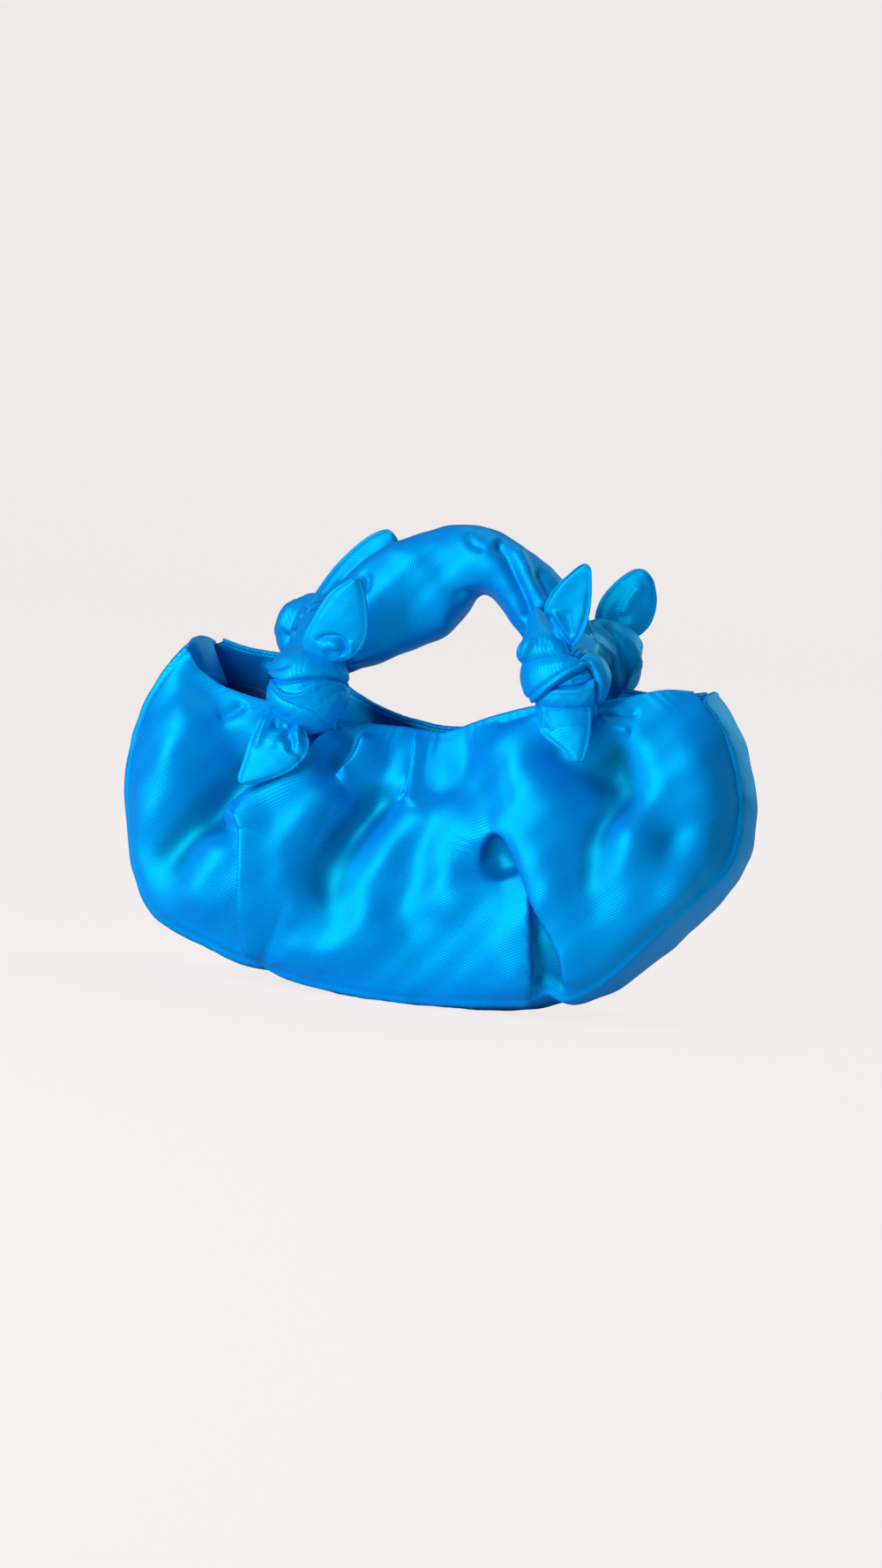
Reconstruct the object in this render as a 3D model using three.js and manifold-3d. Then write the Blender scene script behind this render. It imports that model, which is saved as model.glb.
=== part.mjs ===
// Mini bag: a half-moon satin pouch with a padded top handle that is tied on with four knots.
// Millimetres, +Z up, the front panel faces -Y, and the origin is the middle of the flat base.

import * as THREE from 'three';
import { mergeVertices } from 'three/addons/utils/BufferGeometryUtils.js';
import Module from 'manifold-3d';

const wasm = await Module();
wasm.setup();

// Pouch
const pouchLength = 314;
const baseLength = 140;
const wideHeight = 105;
const endSpan = 258;
const endHeight = 173;
const endTurn = 60;
const rimHeight = 141;
const rimPower = 1.5;
const baseDepth = 84;
const endDepth = 54;
const panelBulge = 15;
const bulgePower = 0.75;
const gussetTaperShare = 0.35;

// Beside the flat base the seam is drawn up: from and full along the base, fading out at a height
const leftDraw = { from: 50, full: 75, rise: 9, fadeHeight: 50 };
const rightDraw = { from: 70, full: 110, rise: 15, fadeHeight: 110 };

// Mouth, left partly open
const mouthGap = 28;
const mouthTieGap = 60;
const mouthTieSpread = 14;

// Cloth layers and the clearances between them
const satinThickness = 2;
const liningThickness = 1.2;
const shellToLining = 1.6;
const seamGap = 0.3;
const liningInset = 4;

// Facing, pocket and magnetic snap inside the mouth
const facingDepth = 26;
const pocketHeight = 56;
const pocketDrop = 40;
const pocketAir = 1.7;
const snapDiameter = 18;
const snapHeight = 2.6;
const snapWallShare = 0.6;
const snapTopShare = 0.85;
const snapDrop = 13;
const snapStudDiameter = 6;
const snapStudHeight = 2;
const studWallShare = 0.8;
const studTopShare = 0.7;
const snapSocketClearance = 0.5;
const snapSeatGap = 0.6;
const snapPlateThickness = 0.6;

// Handle
const overallHeight = 248;
const handleSpan = 130;
const handleForkRise = 9;
const handleLean = 5;
const leftShoulder = { out: 0.66, up: 0.6 };
const rightShoulder = { out: 0.76, up: 0.68 };
const handleThickness = 43;
const handleWidth = 40;
const handleShoulderSwell = 3;
const handleEndDiameter = 28;
const handleTaperShare = 0.3;
const handleSleeveThickness = 1.5;
const handleCoreClearance = 0.8;
const handleSwing = 45;
const swingClearance = 0.8;

// Knots
const knotWidth = 42;
const knotThickness = 35;
const knotHeight = 45;
const knotRise = 16;
const knotOffset = 35;
const knotBandThickness = 2.5;
const knotBandHeight = 18;
const knotBandTilt = 16;
const knotClearance = 0.35;
const strapBaseWidth = 40;
const strapTopWidth = 24;
const strapTopThickness = 12;
const legDiameter = 24;

// Tails
const tailThickness = 3;
const tailRootWidth = 12;
const tailTipWidth = 5;
const tailWidestShare = 0.42;
const tailTipPower = 1.6;
const tailEdgeShare = 0.5;
const tailCup = 2;
const tailSeatGap = 0.4;
const tailRootAngle = 50;

// Each tie point stands out beyond its end of the handle, and the rim is lifted or sags there.
// Tails have a length, a width, a lean to the right and a shift of the root, both as they hang.
const ties = [
  { name: 'front_left', face: -1, side: -1, out: -1, lift: -10,
    upper: { length: 41, width: 27, lean: 20, shift: 2 }, lower: { length: 38, width: 32, lean: -39, shift: -5 } },
  { name: 'front_right', face: -1, side: 1, out: 11, lift: 5,
    upper: { length: 45, width: 23, lean: 12, shift: -4 }, lower: { length: 30, width: 25, lean: 22, shift: -1 } },
  { name: 'back_left', face: 1, side: -1, out: 16, lift: 10,
    upper: { length: 46, width: 25, lean: 32, shift: 6 }, lower: { length: 38, width: 28, lean: -15, shift: 0 } },
  { name: 'back_right', face: 1, side: 1, out: 14, lift: 12,
    upper: { length: 42, width: 25, lean: 20, shift: 2 }, lower: { length: 38, width: 28, lean: 15, shift: 0 } },
].map((tie) => ({ ...tie, x: tie.side * (handleSpan / 2 + tie.out) }));
const tieRimSpread = 28;

// Main folds of each panel: a line in x and z from the rim down, how far it stands out (or in, below 0),
// and how wide it is to each side
const folds = {
  front: [
    { line: [[-124, 158], [-131, 112], [-141, 70], [-142, 55]], height: 6, width: 13 },
    { line: [[-94, 122], [-112, 91], [-136, 56]], height: -9, width: 10 },
    { line: [[-95, 92], [-84, 70], [-81, 45], [-75, 18], [-69, 6]], height: 7, width: 9 },
    { line: [[-42, 138], [-57, 121], [-80, 101], [-99, 81]], height: 6, width: 9 },
    { line: [[-62, 127], [-74, 116], [-98, 96]], height: -7, width: 9 },
    { line: [[-17, 112], [-23, 101], [-36, 89], [-58, 81]], height: -7, width: 9 },
    { line: [[-4, 111], [-28, 69], [-33, 45], [-19, 11]], height: 7, width: 9 },
    { line: [[-1, 93], [-18, 72], [-22, 44], [-10, 16]], height: -5, width: 7 },
    { line: [[33, 152], [42, 116], [37, 86], [36, 72]], height: 7, width: 11 },
    { line: [[44, 90], [56, 73], [68, 48]], height: -7, width: 10 },
    { line: [[60, 82], [72, 60], [84, 40], [92, 14]], height: 6, width: 9 },
    { line: [[60, 151], [90, 136], [108, 125], [122, 108], [143, 111]], height: -8, width: 10 },
    { line: [[111, 160], [123, 132], [149, 104], [136, 74], [108, 40]], height: 6, width: 9 },
  ],
  back: [
    { line: [[124, 160], [134, 112], [136, 70], [130, 52]], height: 6, width: 13 },
    { line: [[92, 134], [107, 94], [113, 58], [110, 38]], height: -7, width: 10 },
    { line: [[76, 146], [88, 104], [93, 62], [88, 22]], height: 8, width: 9 },
    { line: [[60, 148], [60, 104], [52, 58], [53, 36]], height: -8, width: 9 },
    { line: [[44, 148], [36, 108], [27, 66], [34, 24]], height: 8, width: 10 },
    { line: [[4, 103], [-6, 80], [-8, 60], [2, 24]], height: -6, width: 10 },
    { line: [[-22, 108], [-28, 78], [-30, 56], [-18, 16]], height: 7, width: 10 },
    { line: [[-36, 134], [-46, 108], [-54, 70], [-52, 50]], height: -6, width: 9 },
    { line: [[-58, 146], [-68, 96], [-72, 54], [-64, 16]], height: 7, width: 10 },
    { line: [[-84, 146], [-92, 92], [-92, 50]], height: -4, width: 12 },
    { line: [[-104, 160], [-118, 96], [-112, 36]], height: 5, width: 11 },
    { line: [[-128, 156], [-138, 110], [-134, 68]], height: 5, width: 10 },
  ],
};
const foldEndShare = 0.18;
const foldSeamFade = 12;
const foldRimFade = 9;
const foldSlack = 0.2;
const upperTailTilt = 12;
const lowerTailTilt = 15;

// Mesh resolution
const panelShare = 0.985;
const liningShare = 0.85;
const facingShare = 0.91;
const pocketShare = 0.28;
const panelSteps = 32;
const panelRows = [0, 0.04, 0.1, 0.17, 0.25, 0.34, 0.43, 0.52, 0.61, 0.7, 0.79, 0.89, 1];
const foldSteps = 24;
const pocketSteps = 7;
const gussetSteps = 36;
const handleRings = 16;
const handleSides = 12;
const rimRoomRow = 6;

const satin = new THREE.MeshStandardMaterial({ color: 0x0a8fe6, roughness: 0.35, metalness: 0 });
const liningCloth = new THREE.MeshStandardMaterial({ color: 0x0b5fae, roughness: 0.8, metalness: 0 });
const wadding = new THREE.MeshStandardMaterial({ color: 0xf2f0ea, roughness: 0.95, metalness: 0 });
const snapMetal = new THREE.MeshStandardMaterial({ color: 0xc9cbd0, roughness: 0.3, metalness: 1 });

const lerp = THREE.MathUtils.lerp;
const radians = THREE.MathUtils.degToRad;
const smooth = (value) => THREE.MathUtils.smoothstep(value, 0, 1);
const spread = (from, to, steps) => Array.from({ length: steps + 1 }, (_, i) => lerp(from, to, i / steps));

// Closed solids from points and triangles

function closedSolid(points, triangles) {
  let volume = 0;
  for (let i = 0; i < triangles.length; i += 3) {
    const [a, b, c] = triangles.slice(i, i + 3).map((index) => points[index]);
    volume += a.dot(b.clone().cross(c));
  }
  const geometry = new THREE.BufferGeometry();
  geometry.setAttribute('position', new THREE.Float32BufferAttribute(points.flatMap((p) => [p.x, p.y, p.z]), 3));
  geometry.setIndex(volume > 0 ? triangles : triangles.toReversed());
  return geometry;
}

// A sheet with two skins: skin(u, v, side) gives the outer (side 0) and the inner (side 1) point.
function slab(us, vs, skin) {
  const points = [];
  const triangles = [];
  const at = (side, i, j) => (side * us.length + i) * vs.length + j;
  const quad = (a, b, c, d) => triangles.push(a, b, c, a, c, d);
  for (const side of [0, 1]) {
    for (const u of us) {
      for (const v of vs) points.push(skin(u, v, side));
    }
  }
  const lastI = us.length - 1;
  const lastJ = vs.length - 1;
  for (let i = 0; i < lastI; i++) {
    for (let j = 0; j < lastJ; j++) {
      quad(at(0, i, j), at(0, i + 1, j), at(0, i + 1, j + 1), at(0, i, j + 1));
      quad(at(1, i, j), at(1, i, j + 1), at(1, i + 1, j + 1), at(1, i + 1, j));
    }
    quad(at(0, i + 1, 0), at(0, i, 0), at(1, i, 0), at(1, i + 1, 0));
    quad(at(0, i, lastJ), at(0, i + 1, lastJ), at(1, i + 1, lastJ), at(1, i, lastJ));
  }
  for (let j = 0; j < lastJ; j++) {
    quad(at(0, lastI, j + 1), at(0, lastI, j), at(1, lastI, j), at(1, lastI, j + 1));
    quad(at(0, 0, j), at(0, 0, j + 1), at(1, 0, j + 1), at(1, 0, j));
  }
  return closedSolid(points, triangles);
}

// Rings of equal length joined in order, either back to the first ring or with flat ends.
function ringStack(rings, joinsFirst) {
  const sides = rings[0].length;
  const points = rings.flat();
  const triangles = [];
  const steps = joinsFirst ? rings.length : rings.length - 1;
  for (let k = 0; k < steps; k++) {
    const next = (k + 1) % rings.length;
    for (let s = 0; s < sides; s++) {
      const t = (s + 1) % sides;
      const [a, b, c, d] = [k * sides + s, k * sides + t, next * sides + t, next * sides + s];
      triangles.push(a, b, c, a, c, d);
    }
  }
  if (!joinsFirst) {
    for (const [ring, flip] of [[0, true], [rings.length - 1, false]]) {
      const centre = rings[ring].reduce((sum, p) => sum.add(p), new THREE.Vector3()).divideScalar(sides);
      const hub = points.push(centre) - 1;
      for (let s = 0; s < sides; s++) {
        const [a, b] = [ring * sides + s, ring * sides + (s + 1) % sides];
        triangles.push(hub, flip ? b : a, flip ? a : b);
      }
    }
  }
  return closedSolid(points, triangles);
}

function toManifold(geometry) {
  const bare = geometry.clone();
  bare.deleteAttribute('normal');
  bare.deleteAttribute('uv');
  const merged = mergeVertices(bare, 1e-4);
  const vertProperties = Float32Array.from(merged.getAttribute('position').array);
  const triVerts = Uint32Array.from(merged.getIndex().array);
  return new wasm.Manifold(new wasm.Mesh({ numProp: 3, vertProperties, triVerts }));
}

function fromManifold(solid) {
  const mesh = solid.getMesh();
  const geometry = new THREE.BufferGeometry();
  geometry.setAttribute('position', new THREE.Float32BufferAttribute(Array.from(mesh.vertProperties), 3));
  geometry.setIndex(Array.from(mesh.triVerts));
  return geometry;
}

// Pouch outline: t runs from -1 at the left end crest over the base to 1 at the right end crest.

const halfLength = pouchLength / 2;
const halfBase = baseLength / 2;
const halfEnd = endSpan / 2;
const endArcCentre = (halfEnd - halfLength * Math.cos(radians(endTurn))) / (1 - Math.cos(radians(endTurn)));
const endArcHeight = (endHeight - wideHeight) / Math.sin(radians(endTurn));

const seamCurve = new THREE.Path();
seamCurve.moveTo(0, 0);
seamCurve.lineTo(halfBase, 0);
seamCurve.absellipse(halfBase, wideHeight, halfLength - halfBase, wideHeight, -Math.PI / 2, 0, false);
seamCurve.absellipse(endArcCentre, wideHeight, halfLength - endArcCentre, endArcHeight, 0, radians(endTurn), false);

function seamPoint(t) {
  const { x, y } = seamCurve.getPointAt(Math.abs(t));
  const draw = t < 0 ? leftDraw : rightDraw;
  const rise = draw.rise * smooth((x - draw.from) / (draw.full - draw.from)) * (1 - smooth(y / draw.fadeHeight));
  return new THREE.Vector2(Math.sign(t) * x, y + rise);
}

function seamInward(t) {
  const step = 0.001;
  const tangent = seamPoint(Math.min(t + step, 1)).sub(seamPoint(Math.max(t - step, -1))).normalize();
  return new THREE.Vector2(-tangent.y, tangent.x);
}

function rimZ(face, x) {
  const rise = (endHeight - rimHeight) * Math.abs(x / halfEnd) ** rimPower;
  const lifts = ties.filter((tie) => tie.face === face)
    .map((tie) => tie.lift * Math.exp(-(((x - tie.x) / tieRimSpread) ** 2)));
  return lifts.reduce((sum, lift) => sum + lift, rimHeight + rise);
}

// Half the mouth's opening: narrow in the middle, wide at the ties, then drawn in to the gusset.
function rimHalfGap(x) {
  const along = Math.abs(x);
  const atTie = (handleSpan + mouthTieSpread) / 2;
  if (along < atTie) return lerp(mouthGap, mouthTieGap, smooth(along / atTie)) / 2;
  return lerp(mouthTieGap, endDepth, smooth((along - atTie) / (halfEnd - atTie))) / 2;
}

const gussetHalfDepth = (t) =>
  lerp(baseDepth, endDepth, smooth((Math.abs(t) - gussetTaperShare) / (1 - gussetTaperShare))) / 2;

function panelColumn(face, t) {
  const seam = seamPoint(t);
  const rim = new THREE.Vector2(halfEnd * t, rimZ(face, halfEnd * t));
  return { seam, rim, length: seam.distanceTo(rim) };
}

// How far the folds push a place of the panel out: each fades to its sides and to both its ends.
const foldCurves = Object.fromEntries(Object.entries(folds).map(([name, list]) => [name, list.map((fold) => ({
  ...fold,
  places: new THREE.SplineCurve(fold.line.map(([x, z]) => new THREE.Vector2(x, z))).getSpacedPoints(foldSteps),
}))]));

function foldOut(face, place) {
  return foldCurves[face < 0 ? 'front' : 'back'].reduce((sum, { places, height, width }) => {
    const gaps = places.map((point) => point.distanceTo(place));
    const gap = Math.min(...gaps);
    const share = gaps.indexOf(gap) / foldSteps;
    const ends = smooth(Math.min(share, 1 - share) / foldEndShare + 0.2);
    return sum + height * Math.exp(-((gap / width) ** 2)) * ends;
  }, 0);
}

// The folds are held flat at the seam and the rim. Between the panel's own rows they run straight, so that
// the lining and the facing stay at one distance behind the panel.
function foldAtRow(face, t, v) {
  const { seam, rim, length } = panelColumn(face, t);
  const held = smooth((v * length) / foldSeamFade) * smooth(((1 - v) * length) / foldRimFade);
  return held * foldOut(face, seam.clone().lerp(rim, v));
}

function foldAt(face, t, v) {
  const above = Math.max(1, panelRows.findIndex((row) => row >= Math.min(v, 1)));
  const [low, high] = [panelRows[above - 1], panelRows[above]];
  return lerp(foldAtRow(face, t, low), foldAtRow(face, t, high), (v - low) / (high - low));
}

// A point of the panel, v from the seam (0) to the rim (1), moved in by a depth behind its outer face.
// What lies behind the panel is slack at its folds, by a share of their height.
function panelPoint(face, t, v, depth) {
  const { seam, rim, length } = panelColumn(face, t);
  const bulge = panelBulge * Math.min(1, length / rimHeight) * Math.sin(Math.PI * v ** bulgePower);
  const fold = foldAt(face, t, v);
  const slack = depth > satinThickness ? foldSlack * Math.abs(fold) : 0;
  const y = lerp(gussetHalfDepth(t), rimHalfGap(rim.x), v) + bulge + fold - slack - depth;
  return new THREE.Vector3(lerp(seam.x, rim.x, v), face * y, lerp(seam.y, rim.y, v));
}

const panelColumns = spread(-panelShare, panelShare, panelSteps);

// A panel layer as far as reach, on the panel's own columns; its lower and upper edges follow the column.
function panelLayer(face, { reach, rows, from, to, depth, thickness }) {
  const columns = panelColumns.filter((t) => Math.abs(t) <= reach);
  return slab(columns, rows, (t, v, side) => {
    const { length } = panelColumn(face, t);
    return panelPoint(face, t, lerp(from(length), to(length), v), depth + side * thickness);
  });
}

const liningRows = [0, 0.06, 0.14, 0.23, 0.33, 0.44, 0.55, 0.66, 0.77, 0.88, 1];
const liningDepth = satinThickness + shellToLining;
const innerFace = liningDepth + liningThickness;

const facingStart = (length) => Math.max(1 - facingDepth / length, liningInset / length);

function panel(face) {
  return panelLayer(face, {
    reach: panelShare, rows: panelRows,
    from: () => 0, to: () => 1, depth: 0, thickness: satinThickness,
  });
}

function lining(face) {
  return panelLayer(face, {
    reach: liningShare, rows: liningRows,
    from: (length) => liningInset / length, to: (length) => facingStart(length) - seamGap / length,
    depth: liningDepth, thickness: liningThickness,
  });
}

function facing(face) {
  return panelLayer(face, {
    reach: facingShare, rows: [0, 0.5, 1],
    from: facingStart, to: () => 1, depth: liningDepth, thickness: liningThickness,
  });
}

function pocket() {
  return panelLayer(1, {
    reach: pocketShare, rows: spread(0, 1, pocketSteps),
    from: (length) => 1 - (pocketDrop + pocketHeight) / length,
    to: (length) => 1 - pocketDrop / length,
    depth: innerFace + pocketAir, thickness: liningThickness,
  });
}

// The gusset follows the seam, and its side edges butt against the inner face of the panels.
function gussetStrip(reach, columns, inset, thickness, edge) {
  return slab(spread(-reach, reach, columns), [-1, -0.5, 0, 0.5, 1], (t, w, side) => {
    const inward = seamInward(t).multiplyScalar(inset + side * thickness);
    const point = seamPoint(t).add(inward);
    return new THREE.Vector3(point.x, w * (gussetHalfDepth(t) - edge), point.y);
  });
}

// Magnetic snap on the facings

function snapSeat(face) {
  const { length } = panelColumn(face, 0);
  const v = 1 - snapDrop / length;
  const step = 1 / length;
  const up = panelPoint(face, 0, v + step, innerFace).sub(panelPoint(face, 0, v - step, innerFace));
  const inward = new THREE.Vector3(0, -face * up.z, face * up.y).normalize();
  const place = panelPoint(face, 0, v, innerFace).addScaledVector(inward, snapSeatGap);
  return { place, inward, v, step };
}

function snapProfile(points) {
  return new THREE.LatheGeometry(points.map(([r, h]) => new THREE.Vector2(r, h)), 20);
}

const snapBody = (rim) => [[0, 0], [rim, 0], [rim, snapHeight * snapWallShare], [rim * snapTopShare, snapHeight]];

function snapSocket() {
  const bore = snapStudDiameter / 2 + snapSocketClearance;
  const rim = snapDiameter / 2;
  return snapProfile([...snapBody(rim), [bore, snapHeight], [bore, snapHeight - snapStudHeight],
    [0, snapHeight - snapStudHeight]]);
}

function snapStud() {
  const rim = snapDiameter / 2;
  const stud = snapStudDiameter / 2;
  return snapProfile([...snapBody(rim), [stud, snapHeight], [stud, snapHeight + snapStudHeight * studWallShare],
    [stud * studTopShare, snapHeight + snapStudHeight], [0, snapHeight + snapStudHeight]]);
}

function snapPlate(face) {
  const { v, step } = snapSeat(face);
  const half = snapStudDiameter;
  return slab([-half / halfEnd, 0, half / halfEnd], [-half, 0, half], (t, h, side) =>
    panelPoint(face, t, v + h * step, satinThickness + seamGap + side * snapPlateThickness));
}

// Handle: an arch between two fork centres on its swing axis

const knotCentre = (tie) => new THREE.Vector3(tie.x, tie.face * knotOffset, rimZ(tie.face, tie.x) + knotRise);
const forkHeight = ties.reduce((sum, tie) => sum + knotCentre(tie).z / ties.length, 0) + handleForkRise;
const handleHalfSpan = handleSpan / 2;
const archRise = overallHeight - handleThickness / 2 - forkHeight;

const archCurve = new THREE.CatmullRomCurve3([
  new THREE.Vector3(-handleHalfSpan, 0, 0),
  new THREE.Vector3(-handleHalfSpan * leftShoulder.out, 0, archRise * leftShoulder.up),
  new THREE.Vector3(handleLean, 0, archRise),
  new THREE.Vector3(handleHalfSpan * rightShoulder.out, 0, archRise * rightShoulder.up),
  new THREE.Vector3(handleHalfSpan, 0, 0),
], false, 'centripetal');

// One ring of the handle at t, shrunk by a wall; cap is the angle below the fork centre, for the round ends.
function handleRing(t, cap, shrink) {
  const centre = archCurve.getPointAt(t);
  const tangent = archCurve.getTangentAt(t);
  const normal = new THREE.Vector3(-tangent.z, 0, tangent.x);
  const body = smooth(Math.min(t, 1 - t) / handleTaperShare);
  const swell = handleShoulderSwell * Math.sin(2 * Math.PI * t) ** 2;
  const high = lerp(handleEndDiameter, handleThickness, body) / 2 + swell - shrink;
  const wide = lerp(handleEndDiameter, handleWidth, body) / 2 - shrink;
  const along = Math.sign(t - 0.5) * Math.sin(cap) * high;
  return Array.from({ length: handleSides }, (_, s) => {
    const angle = (2 * Math.PI * s) / handleSides;
    return centre.clone()
      .addScaledVector(tangent, along)
      .addScaledVector(normal, Math.cos(angle) * Math.cos(cap) * high)
      .add(new THREE.Vector3(0, Math.sin(angle) * Math.cos(cap) * wide, 0));
  });
}

function handleSkin(shrink) {
  const caps = [60, 40, 20].map(radians);
  return [
    ...caps.map((cap) => handleRing(0, cap, shrink)),
    ...spread(0, 1, handleRings).map((t) => handleRing(t, 0, shrink)),
    ...caps.toReversed().map((cap) => handleRing(1, cap, shrink)),
  ];
}

const handleSleeve = () => ringStack([...handleSkin(0), ...handleSkin(handleSleeveThickness).toReversed()], true);
const handleCore = () => ringStack(handleSkin(handleSleeveThickness + handleCoreClearance), false);

// The room that the handle takes upright and swung fully to one face, with a clearance all round
function handleRoom(face) {
  const solid = toManifold(ringStack(handleSkin(-swingClearance), false));
  return solid.add(solid.rotate([-face * handleSwing, 0, 0])).translate([0, 0, forkHeight]);
}

// Knots: the pouch's strap ends in a knot core, and the handle's leg ends in a band round it

const coreHalf = new THREE.Vector3(knotWidth, knotThickness, knotHeight).divideScalar(2).subScalar(knotBandThickness);

function ellipsoid(centre, half) {
  const geometry = new THREE.SphereGeometry(1, 16, 10);
  geometry.scale(half.x, half.y, half.z);
  geometry.translate(centre.x, centre.y, centre.z);
  return toManifold(geometry);
}

const grown = (half, by) => half.clone().addScalar(by);

function strap(tie, grow) {
  const centre = knotCentre(tie);
  return toManifold(slab([-1, -0.5, 0, 0.5, 1], [0, 0.5, 1], (u, v, side) => {
    const baseX = tie.x + u * (strapBaseWidth / 2 + grow);
    const topX = tie.x + u * (strapTopWidth / 2 + grow);
    const outward = side === 0 ? 1 : -1;
    const baseY = rimHalfGap(baseX) - innerFace / 2 + outward * (innerFace / 2 + grow);
    const topY = knotOffset + outward * (strapTopThickness / 2 + grow);
    const baseZ = rimZ(tie.face, baseX) + seamGap - grow;
    return new THREE.Vector3(lerp(baseX, topX, v), tie.face * lerp(baseY, topY, v), lerp(baseZ, centre.z, v));
  }));
}

// The panel and facing near a tie, grown by a clearance, to be cut out of what slouches over the rim
function rimRoom(tie) {
  const middle = tie.x / halfEnd;
  const reach = knotWidth / halfEnd;
  const columns = panelColumns.filter((t) => Math.abs(t - middle) <= reach);
  const rows = panelRows.slice(rimRoomRow);
  return toManifold(slab(columns, rows, (t, v, side) => {
    const { length } = panelColumn(tie.face, t);
    const depth = side === 0 ? -knotClearance : innerFace + knotClearance;
    return panelPoint(tie.face, t, v + (v * seamGap) / length, depth);
  }));
}

function pouchTie(tie) {
  const core = ellipsoid(knotCentre(tie), coreHalf);
  return fromManifold(core.add(strap(tie, 0)).subtract(rimRoom(tie)).subtract(handleRoom(tie.face)));
}

function knotBand(tie) {
  const centre = knotCentre(tie);
  const slice = new THREE.BoxGeometry(2 * knotWidth, 2 * knotThickness, knotBandHeight);
  slice.rotateY(radians(knotBandTilt) * tie.side);
  slice.translate(centre.x, centre.y, centre.z);
  return ellipsoid(centre, grown(coreHalf, knotBandThickness)).intersect(toManifold(slice));
}

function handleLeg(tie) {
  const from = new THREE.Vector3(tie.side * handleHalfSpan, 0, forkHeight);
  const to = knotCentre(tie);
  const leg = new THREE.CylinderGeometry(legDiameter / 2, legDiameter / 2, from.distanceTo(to), 12);
  leg.applyQuaternion(new THREE.Quaternion().setFromUnitVectors(
    new THREE.Vector3(0, 1, 0), to.clone().sub(from).normalize()));
  const middle = from.clone().lerp(to, 0.5);
  leg.translate(middle.x, middle.y, middle.z);
  return toManifold(leg);
}

function handleTie(tie) {
  const core = ellipsoid(knotCentre(tie), grown(coreHalf, knotClearance));
  return fromManifold(knotBand(tie).add(handleLeg(tie))
    .subtract(core)
    .subtract(strap(tie, knotClearance))
    .subtract(rimRoom(tie))
    .subtract(handleRoom(tie.face)));
}

// Tails: flat pointed leaves that grow along +Z from a rounded root on their bend line

const tailRows = [0, 0.12, 0.3, 0.5, 0.7, 0.86, 1];

function tailHalfWidth(tail, s) {
  const opening = smooth(s / tailWidestShare);
  const closing = Math.max(0, (s - tailWidestShare) / (1 - tailWidestShare)) ** tailTipPower;
  return lerp(lerp(tailRootWidth, tail.width, opening), tailTipWidth, closing) / 2;
}

function tailLeaf(tail) {
  return slab([-1, -0.5, 0, 0.5, 1], tailRows, (u, s, side) => {
    const halfThickness = (tailThickness / 2) * (1 - tailEdgeShare * Math.abs(u) ** 3);
    const cup = tailCup * smooth(s / tailWidestShare) * (Math.abs(u) - 0.5);
    const y = cup + (side === 0 ? -halfThickness : halfThickness);
    return new THREE.Vector3(u * tailHalfWidth(tail, s), y, s * tail.length);
  });
}

function tailRoot(tie, tail, above) {
  const reach = grown(coreHalf, tailThickness / 2 + tailSeatGap);
  const angle = radians(tailRootAngle) * above;
  const nearEdge = Math.max(0, Math.abs(tail.shift) - tailRootWidth / 2);
  const round = Math.sqrt(1 - (nearEdge / reach.x) ** 2);
  const outward = tie.face * reach.y * Math.cos(angle) * round;
  return knotCentre(tie).add(new THREE.Vector3(tail.shift, outward, reach.z * Math.sin(angle) * round));
}

// Assembly

const bag = new THREE.Group();

function add(parent, name, geometry, material) {
  const mesh = new THREE.Mesh(geometry, material);
  mesh.name = name;
  parent.add(mesh);
  return mesh;
}

for (const [side, face] of [['front', -1], ['back', 1]]) {
  add(bag, `${side}_panel`, panel(face), satin);
  add(bag, `${side}_lining`, lining(face), liningCloth);
  add(bag, `${side}_facing`, facing(face), satin);
}
add(bag, 'gusset', gussetStrip(panelShare, gussetSteps, 0, satinThickness, satinThickness + seamGap), satin);
add(bag, 'gusset_lining',
  gussetStrip(facingShare, gussetSteps - 4, liningDepth, liningThickness, innerFace + seamGap), liningCloth);
add(bag, 'inner_pocket', pocket(), liningCloth);

for (const [name, face, shape] of [['snap_socket', -1, snapSocket], ['snap_stud', 1, snapStud]]) {
  const { place, inward } = snapSeat(face);
  const half = add(bag, name, shape(), snapMetal);
  half.position.copy(place);
  half.quaternion.setFromUnitVectors(new THREE.Vector3(0, 1, 0), inward);
  add(bag, `${name}_plate`, snapPlate(face), snapMetal);
}

const handle = new THREE.Group();
handle.position.z = forkHeight;
bag.add(handle);
add(handle, 'handle_sleeve', handleSleeve(), satin);
add(handle, 'handle_core', handleCore(), wadding);

for (const tie of ties) {
  add(bag, `pouch_tie_${tie.name}`, pouchTie(tie), satin);
  add(bag, `handle_tie_${tie.name}`, handleTie(tie), satin);

  const upper = add(bag, `tail_upper_${tie.name}`, tailLeaf(tie.upper), satin);
  upper.position.copy(tailRoot(tie, tie.upper, 1));
  upper.rotation.set(-tie.face * radians(upperTailTilt), radians(tie.upper.lean), 0);

  const lower = add(bag, `tail_lower_${tie.name}`, tailLeaf(tie.lower), satin);
  lower.position.copy(tailRoot(tie, tie.lower, -1));
  lower.rotation.set(tie.face * radians(lowerTailTilt), Math.PI - radians(tie.lower.lean), 0);
}

export default bag;
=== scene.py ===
import math

import bmesh
import bpy
import numpy as np
from mathutils import Matrix, Vector


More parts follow.
